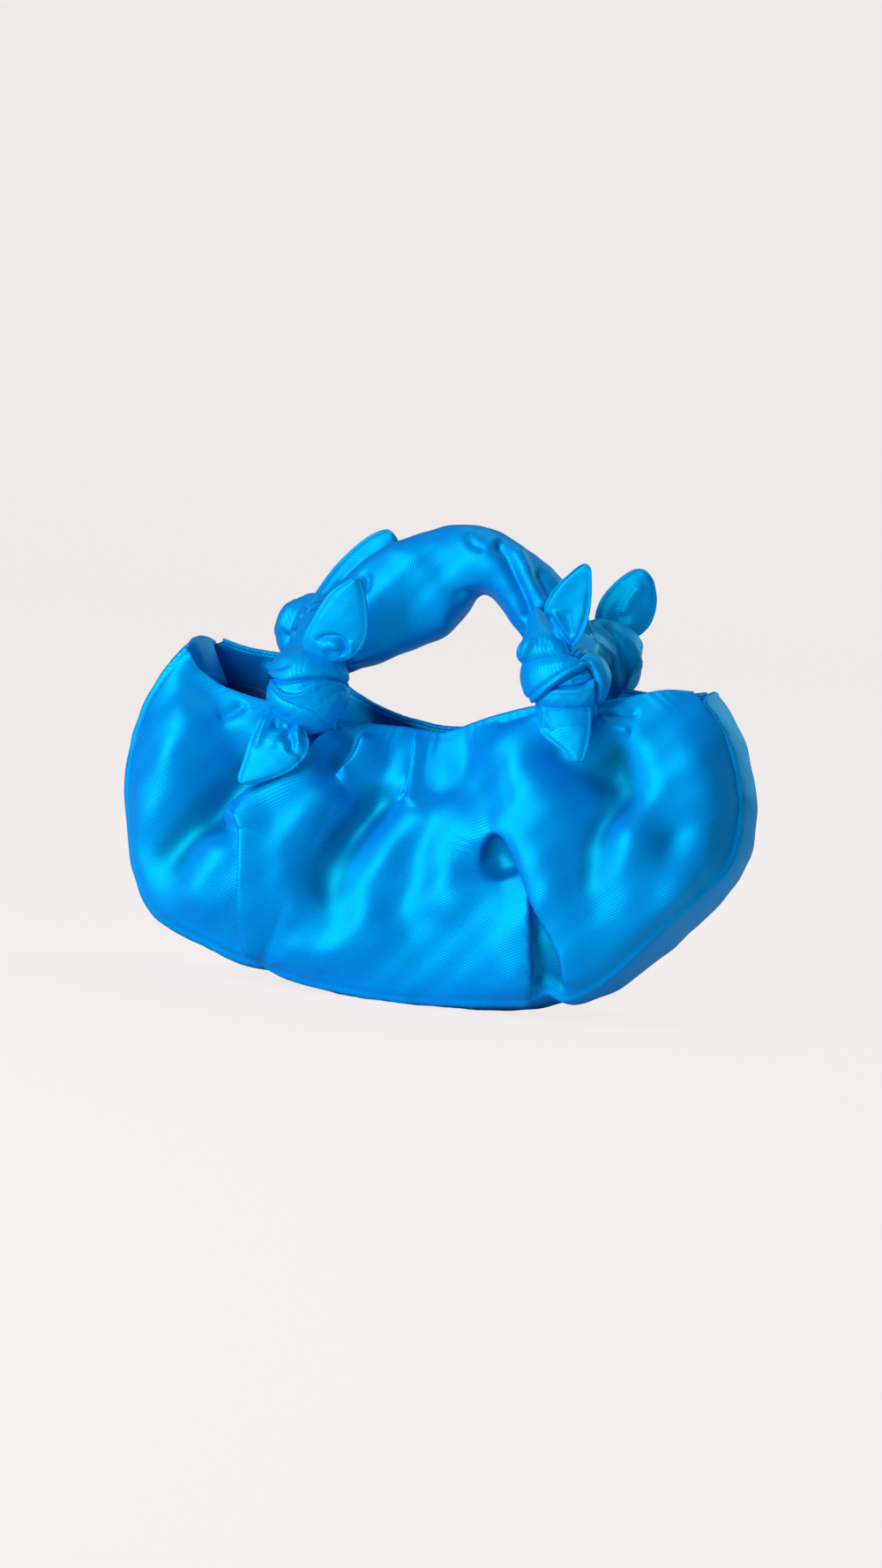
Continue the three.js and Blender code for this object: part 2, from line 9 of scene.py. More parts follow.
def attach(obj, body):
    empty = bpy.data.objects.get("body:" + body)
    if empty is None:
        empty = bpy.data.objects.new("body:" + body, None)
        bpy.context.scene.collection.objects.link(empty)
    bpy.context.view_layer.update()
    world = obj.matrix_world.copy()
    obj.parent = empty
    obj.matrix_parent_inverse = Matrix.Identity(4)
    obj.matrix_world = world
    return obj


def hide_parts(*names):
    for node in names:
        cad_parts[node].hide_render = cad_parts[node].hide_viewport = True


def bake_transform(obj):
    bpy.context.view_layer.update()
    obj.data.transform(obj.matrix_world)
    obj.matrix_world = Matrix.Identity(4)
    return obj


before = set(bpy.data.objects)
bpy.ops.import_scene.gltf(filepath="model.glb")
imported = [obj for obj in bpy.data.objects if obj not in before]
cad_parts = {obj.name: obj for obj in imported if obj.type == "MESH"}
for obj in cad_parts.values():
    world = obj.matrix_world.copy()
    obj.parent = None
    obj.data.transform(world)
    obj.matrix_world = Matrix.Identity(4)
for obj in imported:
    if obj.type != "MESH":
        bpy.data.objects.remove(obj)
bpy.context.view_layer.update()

mm = 0.001

# Camera, as the photograph sees the bag

cameraSetup = {"aim": (0.0033, 0.0, 0.1122), "distance": 2.6, "azimuth": 12.0, "elevation": 4.0,
               "roll": -5.71, "frameWidth": 0.4587, "sensor": 36.0, "clipEnd": 20}


def makeCamera():
    azimuth = math.radians(cameraSetup["azimuth"])
    elevation = math.radians(cameraSetup["elevation"])
    back = Vector((math.sin(azimuth) * math.cos(elevation), -math.cos(azimuth) * math.cos(elevation),
                   math.sin(elevation)))
    data = bpy.data.cameras.new("photoCamera")
    data.sensor_fit = "HORIZONTAL"
    data.sensor_width = cameraSetup["sensor"]
    data.lens = cameraSetup["sensor"] * cameraSetup["distance"] / cameraSetup["frameWidth"]
    data.clip_end = cameraSetup["clipEnd"]
    camera = bpy.data.objects.new("photoCamera", data)
    bpy.context.scene.collection.objects.link(camera)
    camera.location = Vector(cameraSetup["aim"]) + back * cameraSetup["distance"]
    turn = (-back).to_track_quat("-Z", "Y").to_matrix().to_4x4()
    camera.matrix_world = (Matrix.Translation(camera.location) @ turn
                           @ Matrix.Rotation(-math.radians(cameraSetup["roll"]), 4, "Z"))
    bpy.context.scene.camera = camera


# Lamps, world and the pale studio sweep

lampSetup = [
    {"name": "keyLamp", "place": (-1.25, -1.85, 0.85), "size": (0.8, 1.7), "power": 56},
    {"name": "fillLamp", "place": (1.9, -1.5, 0.7), "size": (1.6, 1.6), "power": 4},
    {"name": "topLamp", "place": (0.1, 0.5, 2.2), "size": (1.4, 1.4), "power": 11},
    {"name": "backLamp", "place": (1.5, 2.0, 1.2), "size": (1.4, 1.4), "power": 18},
]
lampAim = (0, 0, 0.12)
stageSetup = {"width": 14.0, "front": -7.0, "back": 5.0, "bend": 1.2, "bendSteps": 12, "height": 4.0,
              "colour": "#f6f0ef", "seen": "#f7f2f1", "seenShare": 0.9, "room": "#f7f4f3",
              "worldStrength": 0.12}


def makeLamps():
    for lamp in lampSetup:
        data = bpy.data.lights.new(lamp["name"], "AREA")
        data.shape = "RECTANGLE"
        data.size, data.size_y = lamp["size"]
        data.energy = lamp["power"]
        holder = bpy.data.objects.new(lamp["name"], data)
        bpy.context.scene.collection.objects.link(holder)
        place = Vector(lamp["place"])
        holder.location = place
        holder.rotation_mode = "QUATERNION"
        holder.rotation_quaternion = (Vector(lampAim) - place).to_track_quat("-Z", "Y")


def linear(code):
    channels = [int(code[i:i + 2], 16) / 255 for i in (1, 3, 5)]
    return tuple(c / 12.92 if c <= 0.04045 else ((c + 0.055) / 1.055) ** 2.4 for c in channels) + (1.0,)


def newMaterial(name):
    material = bpy.data.materials.new(name)
    material.use_nodes = True
    tree = material.node_tree
    tree.nodes.clear()
    return material, tree


def node(tree, kind, at, inputs=None, **settings):
    made = tree.nodes.new(kind)
    made.location = at
    for key, value in settings.items():
        setattr(made, key, value)
    for key, value in (inputs or {}).items():
        if isinstance(value, bpy.types.NodeSocket):
            tree.links.new(value, made.inputs[key])
        else:
            made.inputs[key].default_value = value
    return made


def makeWorld():
    world = bpy.data.worlds.new("studioWorld")
    bpy.context.scene.world = world
    world.use_nodes = True
    tree = world.node_tree
    tree.nodes.clear()
    room = node(tree, "ShaderNodeBackground", (0, 0), {"Color": linear(stageSetup["room"]),
                                                      "Strength": stageSetup["worldStrength"]})
    seen = node(tree, "ShaderNodeBackground", (0, -160), {"Color": linear(stageSetup["seen"]),
                                                          "Strength": 1.0})
    path = node(tree, "ShaderNodeLightPath", (-260, 200))
    either = node(tree, "ShaderNodeMath", (-60, 260),
                  {0: path.outputs["Is Camera Ray"], 1: path.outputs["Is Transmission Ray"]},
                  operation="MAXIMUM")
    mix = node(tree, "ShaderNodeMixShader", (220, 60), {0: either.outputs[0], 1: room.outputs[0],
                                                        2: seen.outputs[0]})
    node(tree, "ShaderNodeOutputWorld", (420, 60), {"Surface": mix.outputs[0]})


def makeStage():
    bm = bmesh.new()
    half = stageSetup["width"] / 2
    edge = [bm.verts.new((-half, stageSetup["front"], 0)), bm.verts.new((half, stageSetup["front"], 0))]
    side = bm.edges.new(edge)
    bend = stageSetup["bend"]
    steps = [(0, stageSetup["back"] - stageSetup["front"], 0)]
    for k in range(stageSetup["bendSteps"]):
        a, b = (math.pi / 2 * step / stageSetup["bendSteps"] for step in (k, k + 1))
        steps.append((0, bend * (math.sin(b) - math.sin(a)), bend * (math.cos(a) - math.cos(b))))
    steps.append((0, 0, stageSetup["height"]))
    for step in steps:
        made = bmesh.ops.extrude_edge_only(bm, edges=[side])["geom"]
        bmesh.ops.translate(bm, verts=[v for v in made if isinstance(v, bmesh.types.BMVert)], vec=step)
        side = next(e for e in made if isinstance(e, bmesh.types.BMEdge) and len(e.link_faces) == 1)
    bmesh.ops.recalc_face_normals(bm, faces=bm.faces)
    sweep = meshObject("studioSweep", bm)
    material, tree = newMaterial("studioPaper")
    # Matt paper that keeps the bag's soft shadow; part of what the camera sees of it is plain pale light.
    paper = node(tree, "ShaderNodeBsdfDiffuse", (0, 0), {"Color": linear(stageSetup["colour"])})
    glow = node(tree, "ShaderNodeEmission", (0, -160), {"Color": linear(stageSetup["seen"]), "Strength": 1.0})
    path = node(tree, "ShaderNodeLightPath", (-300, 220))
    share = node(tree, "ShaderNodeMath", (0, 200),
                 {0: path.outputs["Is Camera Ray"], 1: stageSetup["seenShare"]}, operation="MULTIPLY")
    mix = node(tree, "ShaderNodeMixShader", (220, 60), {0: share.outputs[0], 1: paper.outputs[0],
                                                        2: glow.outputs[0]})
    node(tree, "ShaderNodeOutputMaterial", (420, 60), {"Surface": mix.outputs[0]})
    sweep.data.materials.append(material)


def meshObject(name, bm):
    mesh = bpy.data.meshes.new(name)
    bm.to_mesh(mesh)
    bm.free()
    mesh.polygons.foreach_set("use_smooth", [True] * len(mesh.polygons))
    piece = bpy.data.objects.new(name, mesh)
    bpy.context.scene.collection.objects.link(piece)
    return piece


bpy.context.scene.view_settings.view_transform = "Standard"
makeCamera()
makeLamps()
makeWorld()
makeStage()
print("camera, lamps and sweep ready")

# Satin, lining and metal

# Duchesse satin, woven with long floats of bright yarn: it mirrors lamps as broad, soft streaks of its own
# blue. Its twill lines are about 0.35 mm apart, too fine to show, so they are drawn 1.15 mm apart.
# The darkest blue here is painted shade, mixed into the satin deep in its folds.
satinFinish = {"colour": "#0171da", "deep": "#0169d0", "tiePaintedLightColour": "#017edd", "tiePaintedLightDeep": "#0176d3",
               "roughness": 0.54, "ior": 2.1, "glint": (0.0, 0.8, 1.0, 1.0), "level": 1.0, "twillPitch": 1.15,
               "twillDepth": 0.12, "twillTurn": (40, 52), "yarn": 0.45, "paintedShade": "#003d96",
               "paintedShadeShare": 0.95}


def makeSatin(name, coordinate, colour, deep):
    # Twill lines and fine yarns across the cloth, with a slow drift of colour and gloss.
    material, tree = newMaterial(name)
    place = node(tree, "ShaderNodeTexCoord", (-1300, 0))
    tip, turn = (math.radians(angle) for angle in satinFinish["twillTurn"])
    turned = node(tree, "ShaderNodeMapping", (-1100, 0), {"Vector": place.outputs[coordinate],
                                                          "Rotation": (0.0, tip, turn)})
    twill = node(tree, "ShaderNodeTexWave", (-860, 120),
                 {"Vector": turned.outputs[0], "Scale": math.pi / 10 / (satinFinish["twillPitch"] * mm),
                  "Distortion": 0.6, "Detail": 2.0, "Detail Scale": 0.35}, bands_direction="X")
    yarn = node(tree, "ShaderNodeTexNoise", (-860, -160),
                {"Vector": turned.outputs[0], "Scale": 0.5 / (satinFinish["yarn"] * mm), "Detail": 2.0})
    slub = node(tree, "ShaderNodeTexNoise", (-860, -400),
                {"Vector": place.outputs[coordinate], "Scale": 38.0, "Detail": 3.0, "Roughness": 0.55})
    grain = node(tree, "ShaderNodeMix", (-620, 0), {"Factor": 0.4, "A": twill.outputs["Fac"],
                                                    "B": yarn.outputs["Fac"]}, data_type="FLOAT")
    tint = node(tree, "ShaderNodeMix", (-380, 260), {"Factor": slub.outputs["Fac"],
                                                     "A": linear(deep), "B": linear(colour)},
                data_type="RGBA")
    # Painted shade: deep in a fold the satin's colour is mixed towards a darker blue, in place of the light the
    # fold doesn't get.
    paintedShade = node(tree, "ShaderNodeAttribute", (-380, 520), attribute_name="paintedFoldShade")
    shade = node(tree, "ShaderNodeMath", (-200, 420), {0: paintedShade.outputs["Fac"],
                                                       1: satinFinish["paintedShadeShare"]},
                 operation="MULTIPLY")
    tint = node(tree, "ShaderNodeMix", (-160, 200), {"Factor": shade.outputs[0], "A": tint.outputs["Result"],
                                                     "B": linear(satinFinish["paintedShade"])}, data_type="RGBA")
    gloss = node(tree, "ShaderNodeMapRange", (-380, -60),
                 {"Value": grain.outputs[0], "To Min": satinFinish["roughness"] - 0.05,
                  "To Max": satinFinish["roughness"] + 0.06})
    bump = node(tree, "ShaderNodeBump", (-380, -320), {"Height": grain.outputs[0], "Strength": 0.8,
                                                       "Distance": satinFinish["twillDepth"] * mm})
    cloth = node(tree, "ShaderNodeBsdfPrincipled", (0, 0),
                 {"Base Color": tint.outputs["Result"], "Roughness": gloss.outputs[0],
                  "Normal": bump.outputs[0], "IOR": satinFinish["ior"], "Specular Tint": satinFinish["glint"],
                  "Specular IOR Level": satinFinish["level"]})
    node(tree, "ShaderNodeOutputMaterial", (320, 0), {"Surface": cloth.outputs[0]})
    return material


satin = makeSatin("duchesseSatin", "UV", satinFinish["colour"], satinFinish["deep"])
# Painted light: the ties and knots get a lighter copy of the satin's colours, as if their cloth caught more of
# the lamps.
tieSatinPaintedLight = makeSatin("duchesseSatinTiePaintedLight", "UV", satinFinish["tiePaintedLightColour"], satinFinish["tiePaintedLightDeep"])
woundSatinPaintedLight = makeSatin("duchesseSatinWoundPaintedLight", "Object", satinFinish["tiePaintedLightColour"], satinFinish["tiePaintedLightDeep"])

liningFinish = {"light": "#0b66b8", "dark": "#07509a", "roughness": 0.78, "pitch": 0.9, "depth": 0.1}


def makeLining():
    # Polyester lining twill: diagonal ribs, matt, with a little colour between them. Real ribs are about
    # 0.4 mm apart, too fine to show, so they are drawn 0.9 mm apart.
    material, tree = newMaterial("liningTwill")
    place = node(tree, "ShaderNodeTexCoord", (-1000, 0))
    turned = node(tree, "ShaderNodeMapping", (-800, 0), {"Vector": place.outputs["UV"],
                                                         "Rotation": (0.0, 0.0, math.radians(58))})
    ribs = node(tree, "ShaderNodeTexWave", (-600, 100),
                {"Vector": turned.outputs[0], "Scale": math.pi / 10 / (liningFinish["pitch"] * mm),
                 "Distortion": 0.4, "Detail": 2.0}, bands_direction="X")
    fuzz = node(tree, "ShaderNodeTexNoise", (-600, -160), {"Vector": place.outputs["UV"], "Scale": 900.0,
                                                           "Detail": 2.0})
    both = node(tree, "ShaderNodeMix", (-380, 0), {"Factor": 0.35, "A": ribs.outputs["Fac"],
                                                   "B": fuzz.outputs["Fac"]}, data_type="FLOAT")
    tint = node(tree, "ShaderNodeMix", (-180, 160), {"Factor": both.outputs[0],
                                                     "A": linear(liningFinish["dark"]),
                                                     "B": linear(liningFinish["light"])}, data_type="RGBA")
    bump = node(tree, "ShaderNodeBump", (-180, -160), {"Height": both.outputs[0], "Strength": 0.5,
                                                       "Distance": liningFinish["depth"] * mm})
    cloth = node(tree, "ShaderNodeBsdfPrincipled", (60, 0),
                 {"Base Color": tint.outputs["Result"], "Roughness": liningFinish["roughness"],
                  "Normal": bump.outputs[0], "Sheen Weight": 0.15, "Sheen Roughness": 0.5})
    node(tree, "ShaderNodeOutputMaterial", (320, 0), {"Surface": cloth.outputs[0]})
    return material


liningTwill = makeLining()

nickelFinish = {"colour": "#c9c6bf", "roughness": 0.24, "scratchPitch": 0.6}


def makeNickel():
    # Nickel plate on stamped steel: a warm grey mirror, dulled by faint brushing
    material, tree = newMaterial("nickelPlate")
    place = node(tree, "ShaderNodeTexCoord", (-800, 0))
    stretched = node(tree, "ShaderNodeMapping", (-600, 0), {"Vector": place.outputs["Object"],
                                                            "Scale": (1.0, 1.0, 12.0)})
    brushing = node(tree, "ShaderNodeTexNoise", (-400, 0),
                    {"Vector": stretched.outputs[0], "Scale": 0.5 / (nickelFinish["scratchPitch"] * mm),
                     "Detail": 3.0})
    gloss = node(tree, "ShaderNodeMapRange", (-200, -80), {"Value": brushing.outputs["Fac"],
                                                           "To Min": nickelFinish["roughness"] - 0.06,
                                                           "To Max": nickelFinish["roughness"] + 0.12})
    bump = node(tree, "ShaderNodeBump", (-200, -260), {"Height": brushing.outputs["Fac"], "Strength": 0.15,
                                                       "Distance": 0.02 * mm})
    metal = node(tree, "ShaderNodeBsdfPrincipled", (60, 0),
                 {"Base Color": linear(nickelFinish["colour"]), "Metallic": 1.0,
                  "Roughness": gloss.outputs[0], "Normal": bump.outputs[0]})
    node(tree, "ShaderNodeOutputMaterial", (320, 0), {"Surface": metal.outputs[0]})
    return material


nickel = makeNickel()

waddingFinish = {"light": "#f4f2ec", "dark": "#dcd8ce", "fibre": 1.4}


def makeWadding():
    # Polyester fibre fill: white, matt and woolly
    material, tree = newMaterial("polyesterWadding")
    place = node(tree, "ShaderNodeTexCoord", (-700, 0))
    fibres = node(tree, "ShaderNodeTexNoise", (-480, 0),
                  {"Vector": place.outputs["Object"], "Scale": 0.5 / (waddingFinish["fibre"] * mm),
                   "Detail": 6.0, "Roughness": 0.7, "Distortion": 1.2})
    tint = node(tree, "ShaderNodeMix", (-220, 120), {"Factor": fibres.outputs["Fac"],
                                                     "A": linear(waddingFinish["dark"]),
                                                     "B": linear(waddingFinish["light"])}, data_type="RGBA")
    bump = node(tree, "ShaderNodeBump", (-220, -120), {"Height": fibres.outputs["Fac"], "Strength": 0.9,
                                                       "Distance": 1.2 * mm})
    fill = node(tree, "ShaderNodeBsdfPrincipled", (40, 0),
                {"Base Color": tint.outputs["Result"], "Roughness": 0.95, "Normal": bump.outputs[0],
                 "Sheen Weight": 0.3, "Sheen Roughness": 0.6})
    node(tree, "ShaderNodeOutputMaterial", (300, 0), {"Surface": fill.outputs[0]})
    return material


polyesterWadding = makeWadding()

# Pouch form, in millimetres: seam, rim and depth as in the CAD

pouchForm = {"halfLength": 157.0, "halfBase": 70.0, "wideHeight": 105.0, "halfEnd": 129.0, "endHeight": 173.0,
             "endTurn": 60.0, "rimHeight": 141.0, "baseDepth": 84.0, "endDepth": 54.0, "taperShare": 0.35,
             "bulge": 15.0, "bulgePower": 0.75, "mouthGap": 28.0, "mouthTieGap": 60.0, "mouthTieHalf": 72.0,
             "columns": 340, "rows": 180, "foldStrength": 1.15, "snapGuard": (19.0, 18.0, 127.0),
             "paintedShadeReach": 16, "paintedShadeDepth": 3.4, "halfSeam": 330, "panelReach": 0.985, "hemRadius": 1.6,
             "snapHigh": 0.7, "snapDip": -0.8}
clothWall = {"satin": 0.9, "lining": 0.6, "pocket": 0.8}
frontRim = [(-129, 167), (-125, 160), (-115, 153), (-104, 149), (-94, 147), (-80, 145), (-64, 142.5),
            (-50, 140.5), (-38, 139.5), (-18, 139.5), (2, 139), (9, 141), (20, 145.5), (30, 150), (39, 153.5),
            (50, 157.5), (62, 160.5), (76, 162), (87, 164), (96, 167), (106, 171), (116, 174), (126, 174.5),
            (129, 174)]
backTies = [(-81.0, 10.0), (79.0, 12.0)]
lowerSeam = {
    -1: [(-157, 105), (-150, 62), (-141, 40), (-134, 31), (-124, 25), (-113, 20.5), (-102, 17), (-92, 13.5),
         (-82, 11), (-75, 11.5), (-71, 12), (-67, 9), (-61, 6.8), (-52, 4.8), (-42, 3.4), (-22, 1.6),
         (0, 1.2), (20, 2), (38, 3.5), (48, 5), (58, 6.5), (66, 8), (73, 11.5), (79, 14), (84, 12.5),
         (88, 11.5), (94, 14), (103, 20), (113, 29), (121, 38), (130, 49), (138, 60), (147, 73), (154, 87),
         (157, 105)],
    1: [(-157, 105), (-150, 62), (-141, 40), (-130, 29), (-119, 21), (-107, 15), (-94, 11), (-80, 7.5),
        (-65, 4.8), (-50, 2.6), (-30, 1), (0, 0.4), (30, 0.6), (50, 1.8), (68, 4.5), (84, 9), (100, 16.5),
        (113, 26), (126, 38), (138, 51), (148, 66), (154, 83), (157, 105)],
}


def smoothStep(value):
    value = np.clip(value, 0.0, 1.0)
    return value * value * (3 - 2 * value)


def mix(a, b, share):
    return a + (b - a) * share


def halfSeamPath():
    form = pouchForm
    turn = math.radians(form["endTurn"])
    centre = (form["halfEnd"] - form["halfLength"] * math.cos(turn)) / (1 - math.cos(turn))
    height = (form["endHeight"] - form["wideHeight"]) / math.sin(turn)
    a = np.linspace(-math.pi / 2, 0, 400)
    b = np.linspace(0, turn, 200)[1:]
    wide = form["halfLength"] - form["halfBase"]
    x = np.concatenate([np.linspace(0, form["halfBase"], 100)[:-1], form["halfBase"] + wide * np.cos(a),
                        centre + (form["halfLength"] - centre) * np.cos(b)])
    z = np.concatenate([np.zeros(99), form["wideHeight"] * (1 + np.sin(a)),
                        form["wideHeight"] + height * np.sin(b)])
    along = np.concatenate([[0], np.cumsum(np.hypot(np.diff(x), np.diff(z)))])
    return along / along[-1], x, z


seamAlong, seamX, seamZ = halfSeamPath()


def runLength(path):
    # How far along a path each of its places lies
    return np.concatenate([[0], np.cumsum(np.linalg.norm(np.diff(path, axis=0), axis=1))])


def smoothLine(points, steps):
    # Catmull-Rom through the given points
    p = np.array(points, float)
    p = np.vstack([2 * p[0] - p[1], p, 2 * p[-1] - p[-2]])
    u = np.linspace(0, len(points) - 1, steps)
    k = np.minimum(u.astype(int), len(points) - 2)
    f = (u - k)[:, None]
    a, b, c, d = p[k], p[k + 1], p[k + 2], p[k + 3]
    return 0.5 * (2 * b + (c - a) * f + (2 * a - 5 * b + 4 * c - d) * f ** 2
                  + (3 * b - a - 3 * c + d) * f ** 3)


rimCurve = smoothLine(frontRim, 400)
lowerCurves = {face: smoothLine(points, 600) for face, points in lowerSeam.items()}


def seamAt(face, t):
    x = np.sign(t) * np.interp(np.abs(t), seamAlong, seamX)
    z = np.interp(np.abs(t), seamAlong, seamZ)
    drawn = np.interp(x, lowerCurves[face][:, 0], lowerCurves[face][:, 1])
    return x, mix(drawn, z, smoothStep((z - 60) / 40))


def rimAt(face, x):
    if face < 0:
        return np.interp(x, rimCurve[:, 0], rimCurve[:, 1])
    form = pouchForm
    z = form["rimHeight"] + (form["endHeight"] - form["rimHeight"]) * np.abs(x / form["halfEnd"]) ** 1.5
    for place, lift in backTies:
        z = z + lift * np.exp(-((x - place) / 28) ** 2)
    return z


def rimHalfGap(x):
    form = pouchForm
    inner = mix(form["mouthGap"], form["mouthTieGap"], smoothStep(np.abs(x) / form["mouthTieHalf"])) / 2
    outer = mix(form["mouthTieGap"], form["endDepth"],
                smoothStep((np.abs(x) - form["mouthTieHalf"]) / (form["halfEnd"] - form["mouthTieHalf"]))) / 2
    return np.where(np.abs(x) < form["mouthTieHalf"], inner, outer)


def gussetHalf(t):
    form = pouchForm
    share = smoothStep((np.abs(t) - form["taperShare"]) / (1 - form["taperShare"]))
    return mix(form["baseDepth"], form["endDepth"], share) / 2


def panelBase(face, t, v):
    form = pouchForm
    sx, sz = seamAt(face, t)
    rx = form["halfEnd"] * t
    rz = rimAt(face, rx)
    length = np.hypot(sx - rx, sz - rz)
    full = form["bulge"] * np.minimum(1, length / form["rimHeight"])
    bulge = full * np.sin(math.pi * v ** form["bulgePower"])
    y = mix(gussetHalf(t), rimHalfGap(rx), v) + bulge
    return np.stack([mix(sx, rx, v), face * y, mix(sz, rz, v)], -1), length


def gridNormals(points):
    across = np.gradient(points, axis=0)
    up = np.gradient(points, axis=1)
    normal = np.cross(across, up)
    return normal / (np.linalg.norm(normal, axis=-1, keepdims=True) + 1e-9)


# Folds: each is a line on the cloth with a height and how softly it falls away to its left and right.
# The sharper side is where the cloth rolls over. Lines are drawn in millimetres as the main view sees them,
# on a plane in front of the bag; the slants bring a place on the cloth to that plane.

foldSetup = {"steps": 60, "peak": 1.8, "rollReach": 7.0, "crispBelow": 3, "plane": 50, "slantX": 0.2126,
             "slantZ": 0.07}


def blurred(grid):
    # Two passes of a short average along both directions of a grid
    for axis in (0, 1, 0, 1):
        sides = [np.roll(grid, shift, axis) for shift in (-3, -2, -1, 1, 2, 3)]
        wide = (grid + sum(sides)) / 7
        index = [slice(None)] * 2
        index[axis] = slice(3, -3)
        grid = grid.copy()
        grid[tuple(index)] = wide[tuple(index)]
    return grid


def fold(line, high, soft, roll=0, fade=(0.2, 0.2)):
    # high may be one height or several along the line; fade is the share over which each end runs out
    return {"line": line, "high": high, "soft": soft, "roll": roll, "fade": fade}


def foldField(x, z, folds, strength=1.0):
    height = np.zeros_like(x)
    broad = np.zeros_like(x)
    dip = np.zeros_like(x)
    slideX = np.zeros_like(x)
    slideZ = np.zeros_like(x)
    for ridge in folds:
        line = smoothLine(ridge["line"], foldSetup["steps"])
        tangent = np.gradient(line, axis=0)
        tangent /= np.linalg.norm(tangent, axis=1, keepdims=True)
        length = np.hypot(*np.diff(line, axis=0).T).sum()
        reach = 2.2 * max(ridge["soft"]) + 4
        near = ((x > line[:, 0].min() - reach) & (x < line[:, 0].max() + reach)
                & (z > line[:, 1].min() - reach) & (z < line[:, 1].max() + reach))
        px, pz = x[near], z[near]
        gap = (px[:, None] - line[:, 0]) ** 2 + (pz[:, None] - line[:, 1]) ** 2
        k = gap.argmin(1)
        tx, tz = tangent[k, 0], tangent[k, 1]
        dx, dz = px - line[k, 0], pz - line[k, 1]
        side = -tz * dx + tx * dz
        share = k / (foldSetup["steps"] - 1) + (tx * dx + tz * dz) / length
        startFade, endFade = ridge["fade"]
        ends = smoothStep(share / startFade) * smoothStep((1 - share) / endFade)
        left, right = ridge["soft"]
        soft = np.where(side > 0, left, right)
        shape = np.exp(-np.abs(side / soft) ** foldSetup["peak"]) * ends
        high = ridge["high"]
        if isinstance(high, tuple):
            high = np.interp(share, np.linspace(0, 1, len(high)), high)
        high = high * strength
        target = broad if min(ridge["soft"]) > foldSetup["crispBelow"] else height
        target[near] += high * shape
        dip[near] += np.minimum(high, 0) * shape
        if ridge["roll"]:
            toward = -1 if left > right else 1
            wide = min(max(left, right), foldSetup["rollReach"])
            across = np.where((side > 0) == (left > right), wide, min(left, right))
            push = np.exp(-np.abs(side / across) ** 2) * ends
            slideX[near] += ridge["roll"] * push * toward * -tz
            slideZ[near] += ridge["roll"] * push * toward * tx
    if x.ndim == 2 and min(x.shape) > 40:
        broad = blurred(blurred(blurred(broad)))
    return height + broad, dip, slideX, slideZ


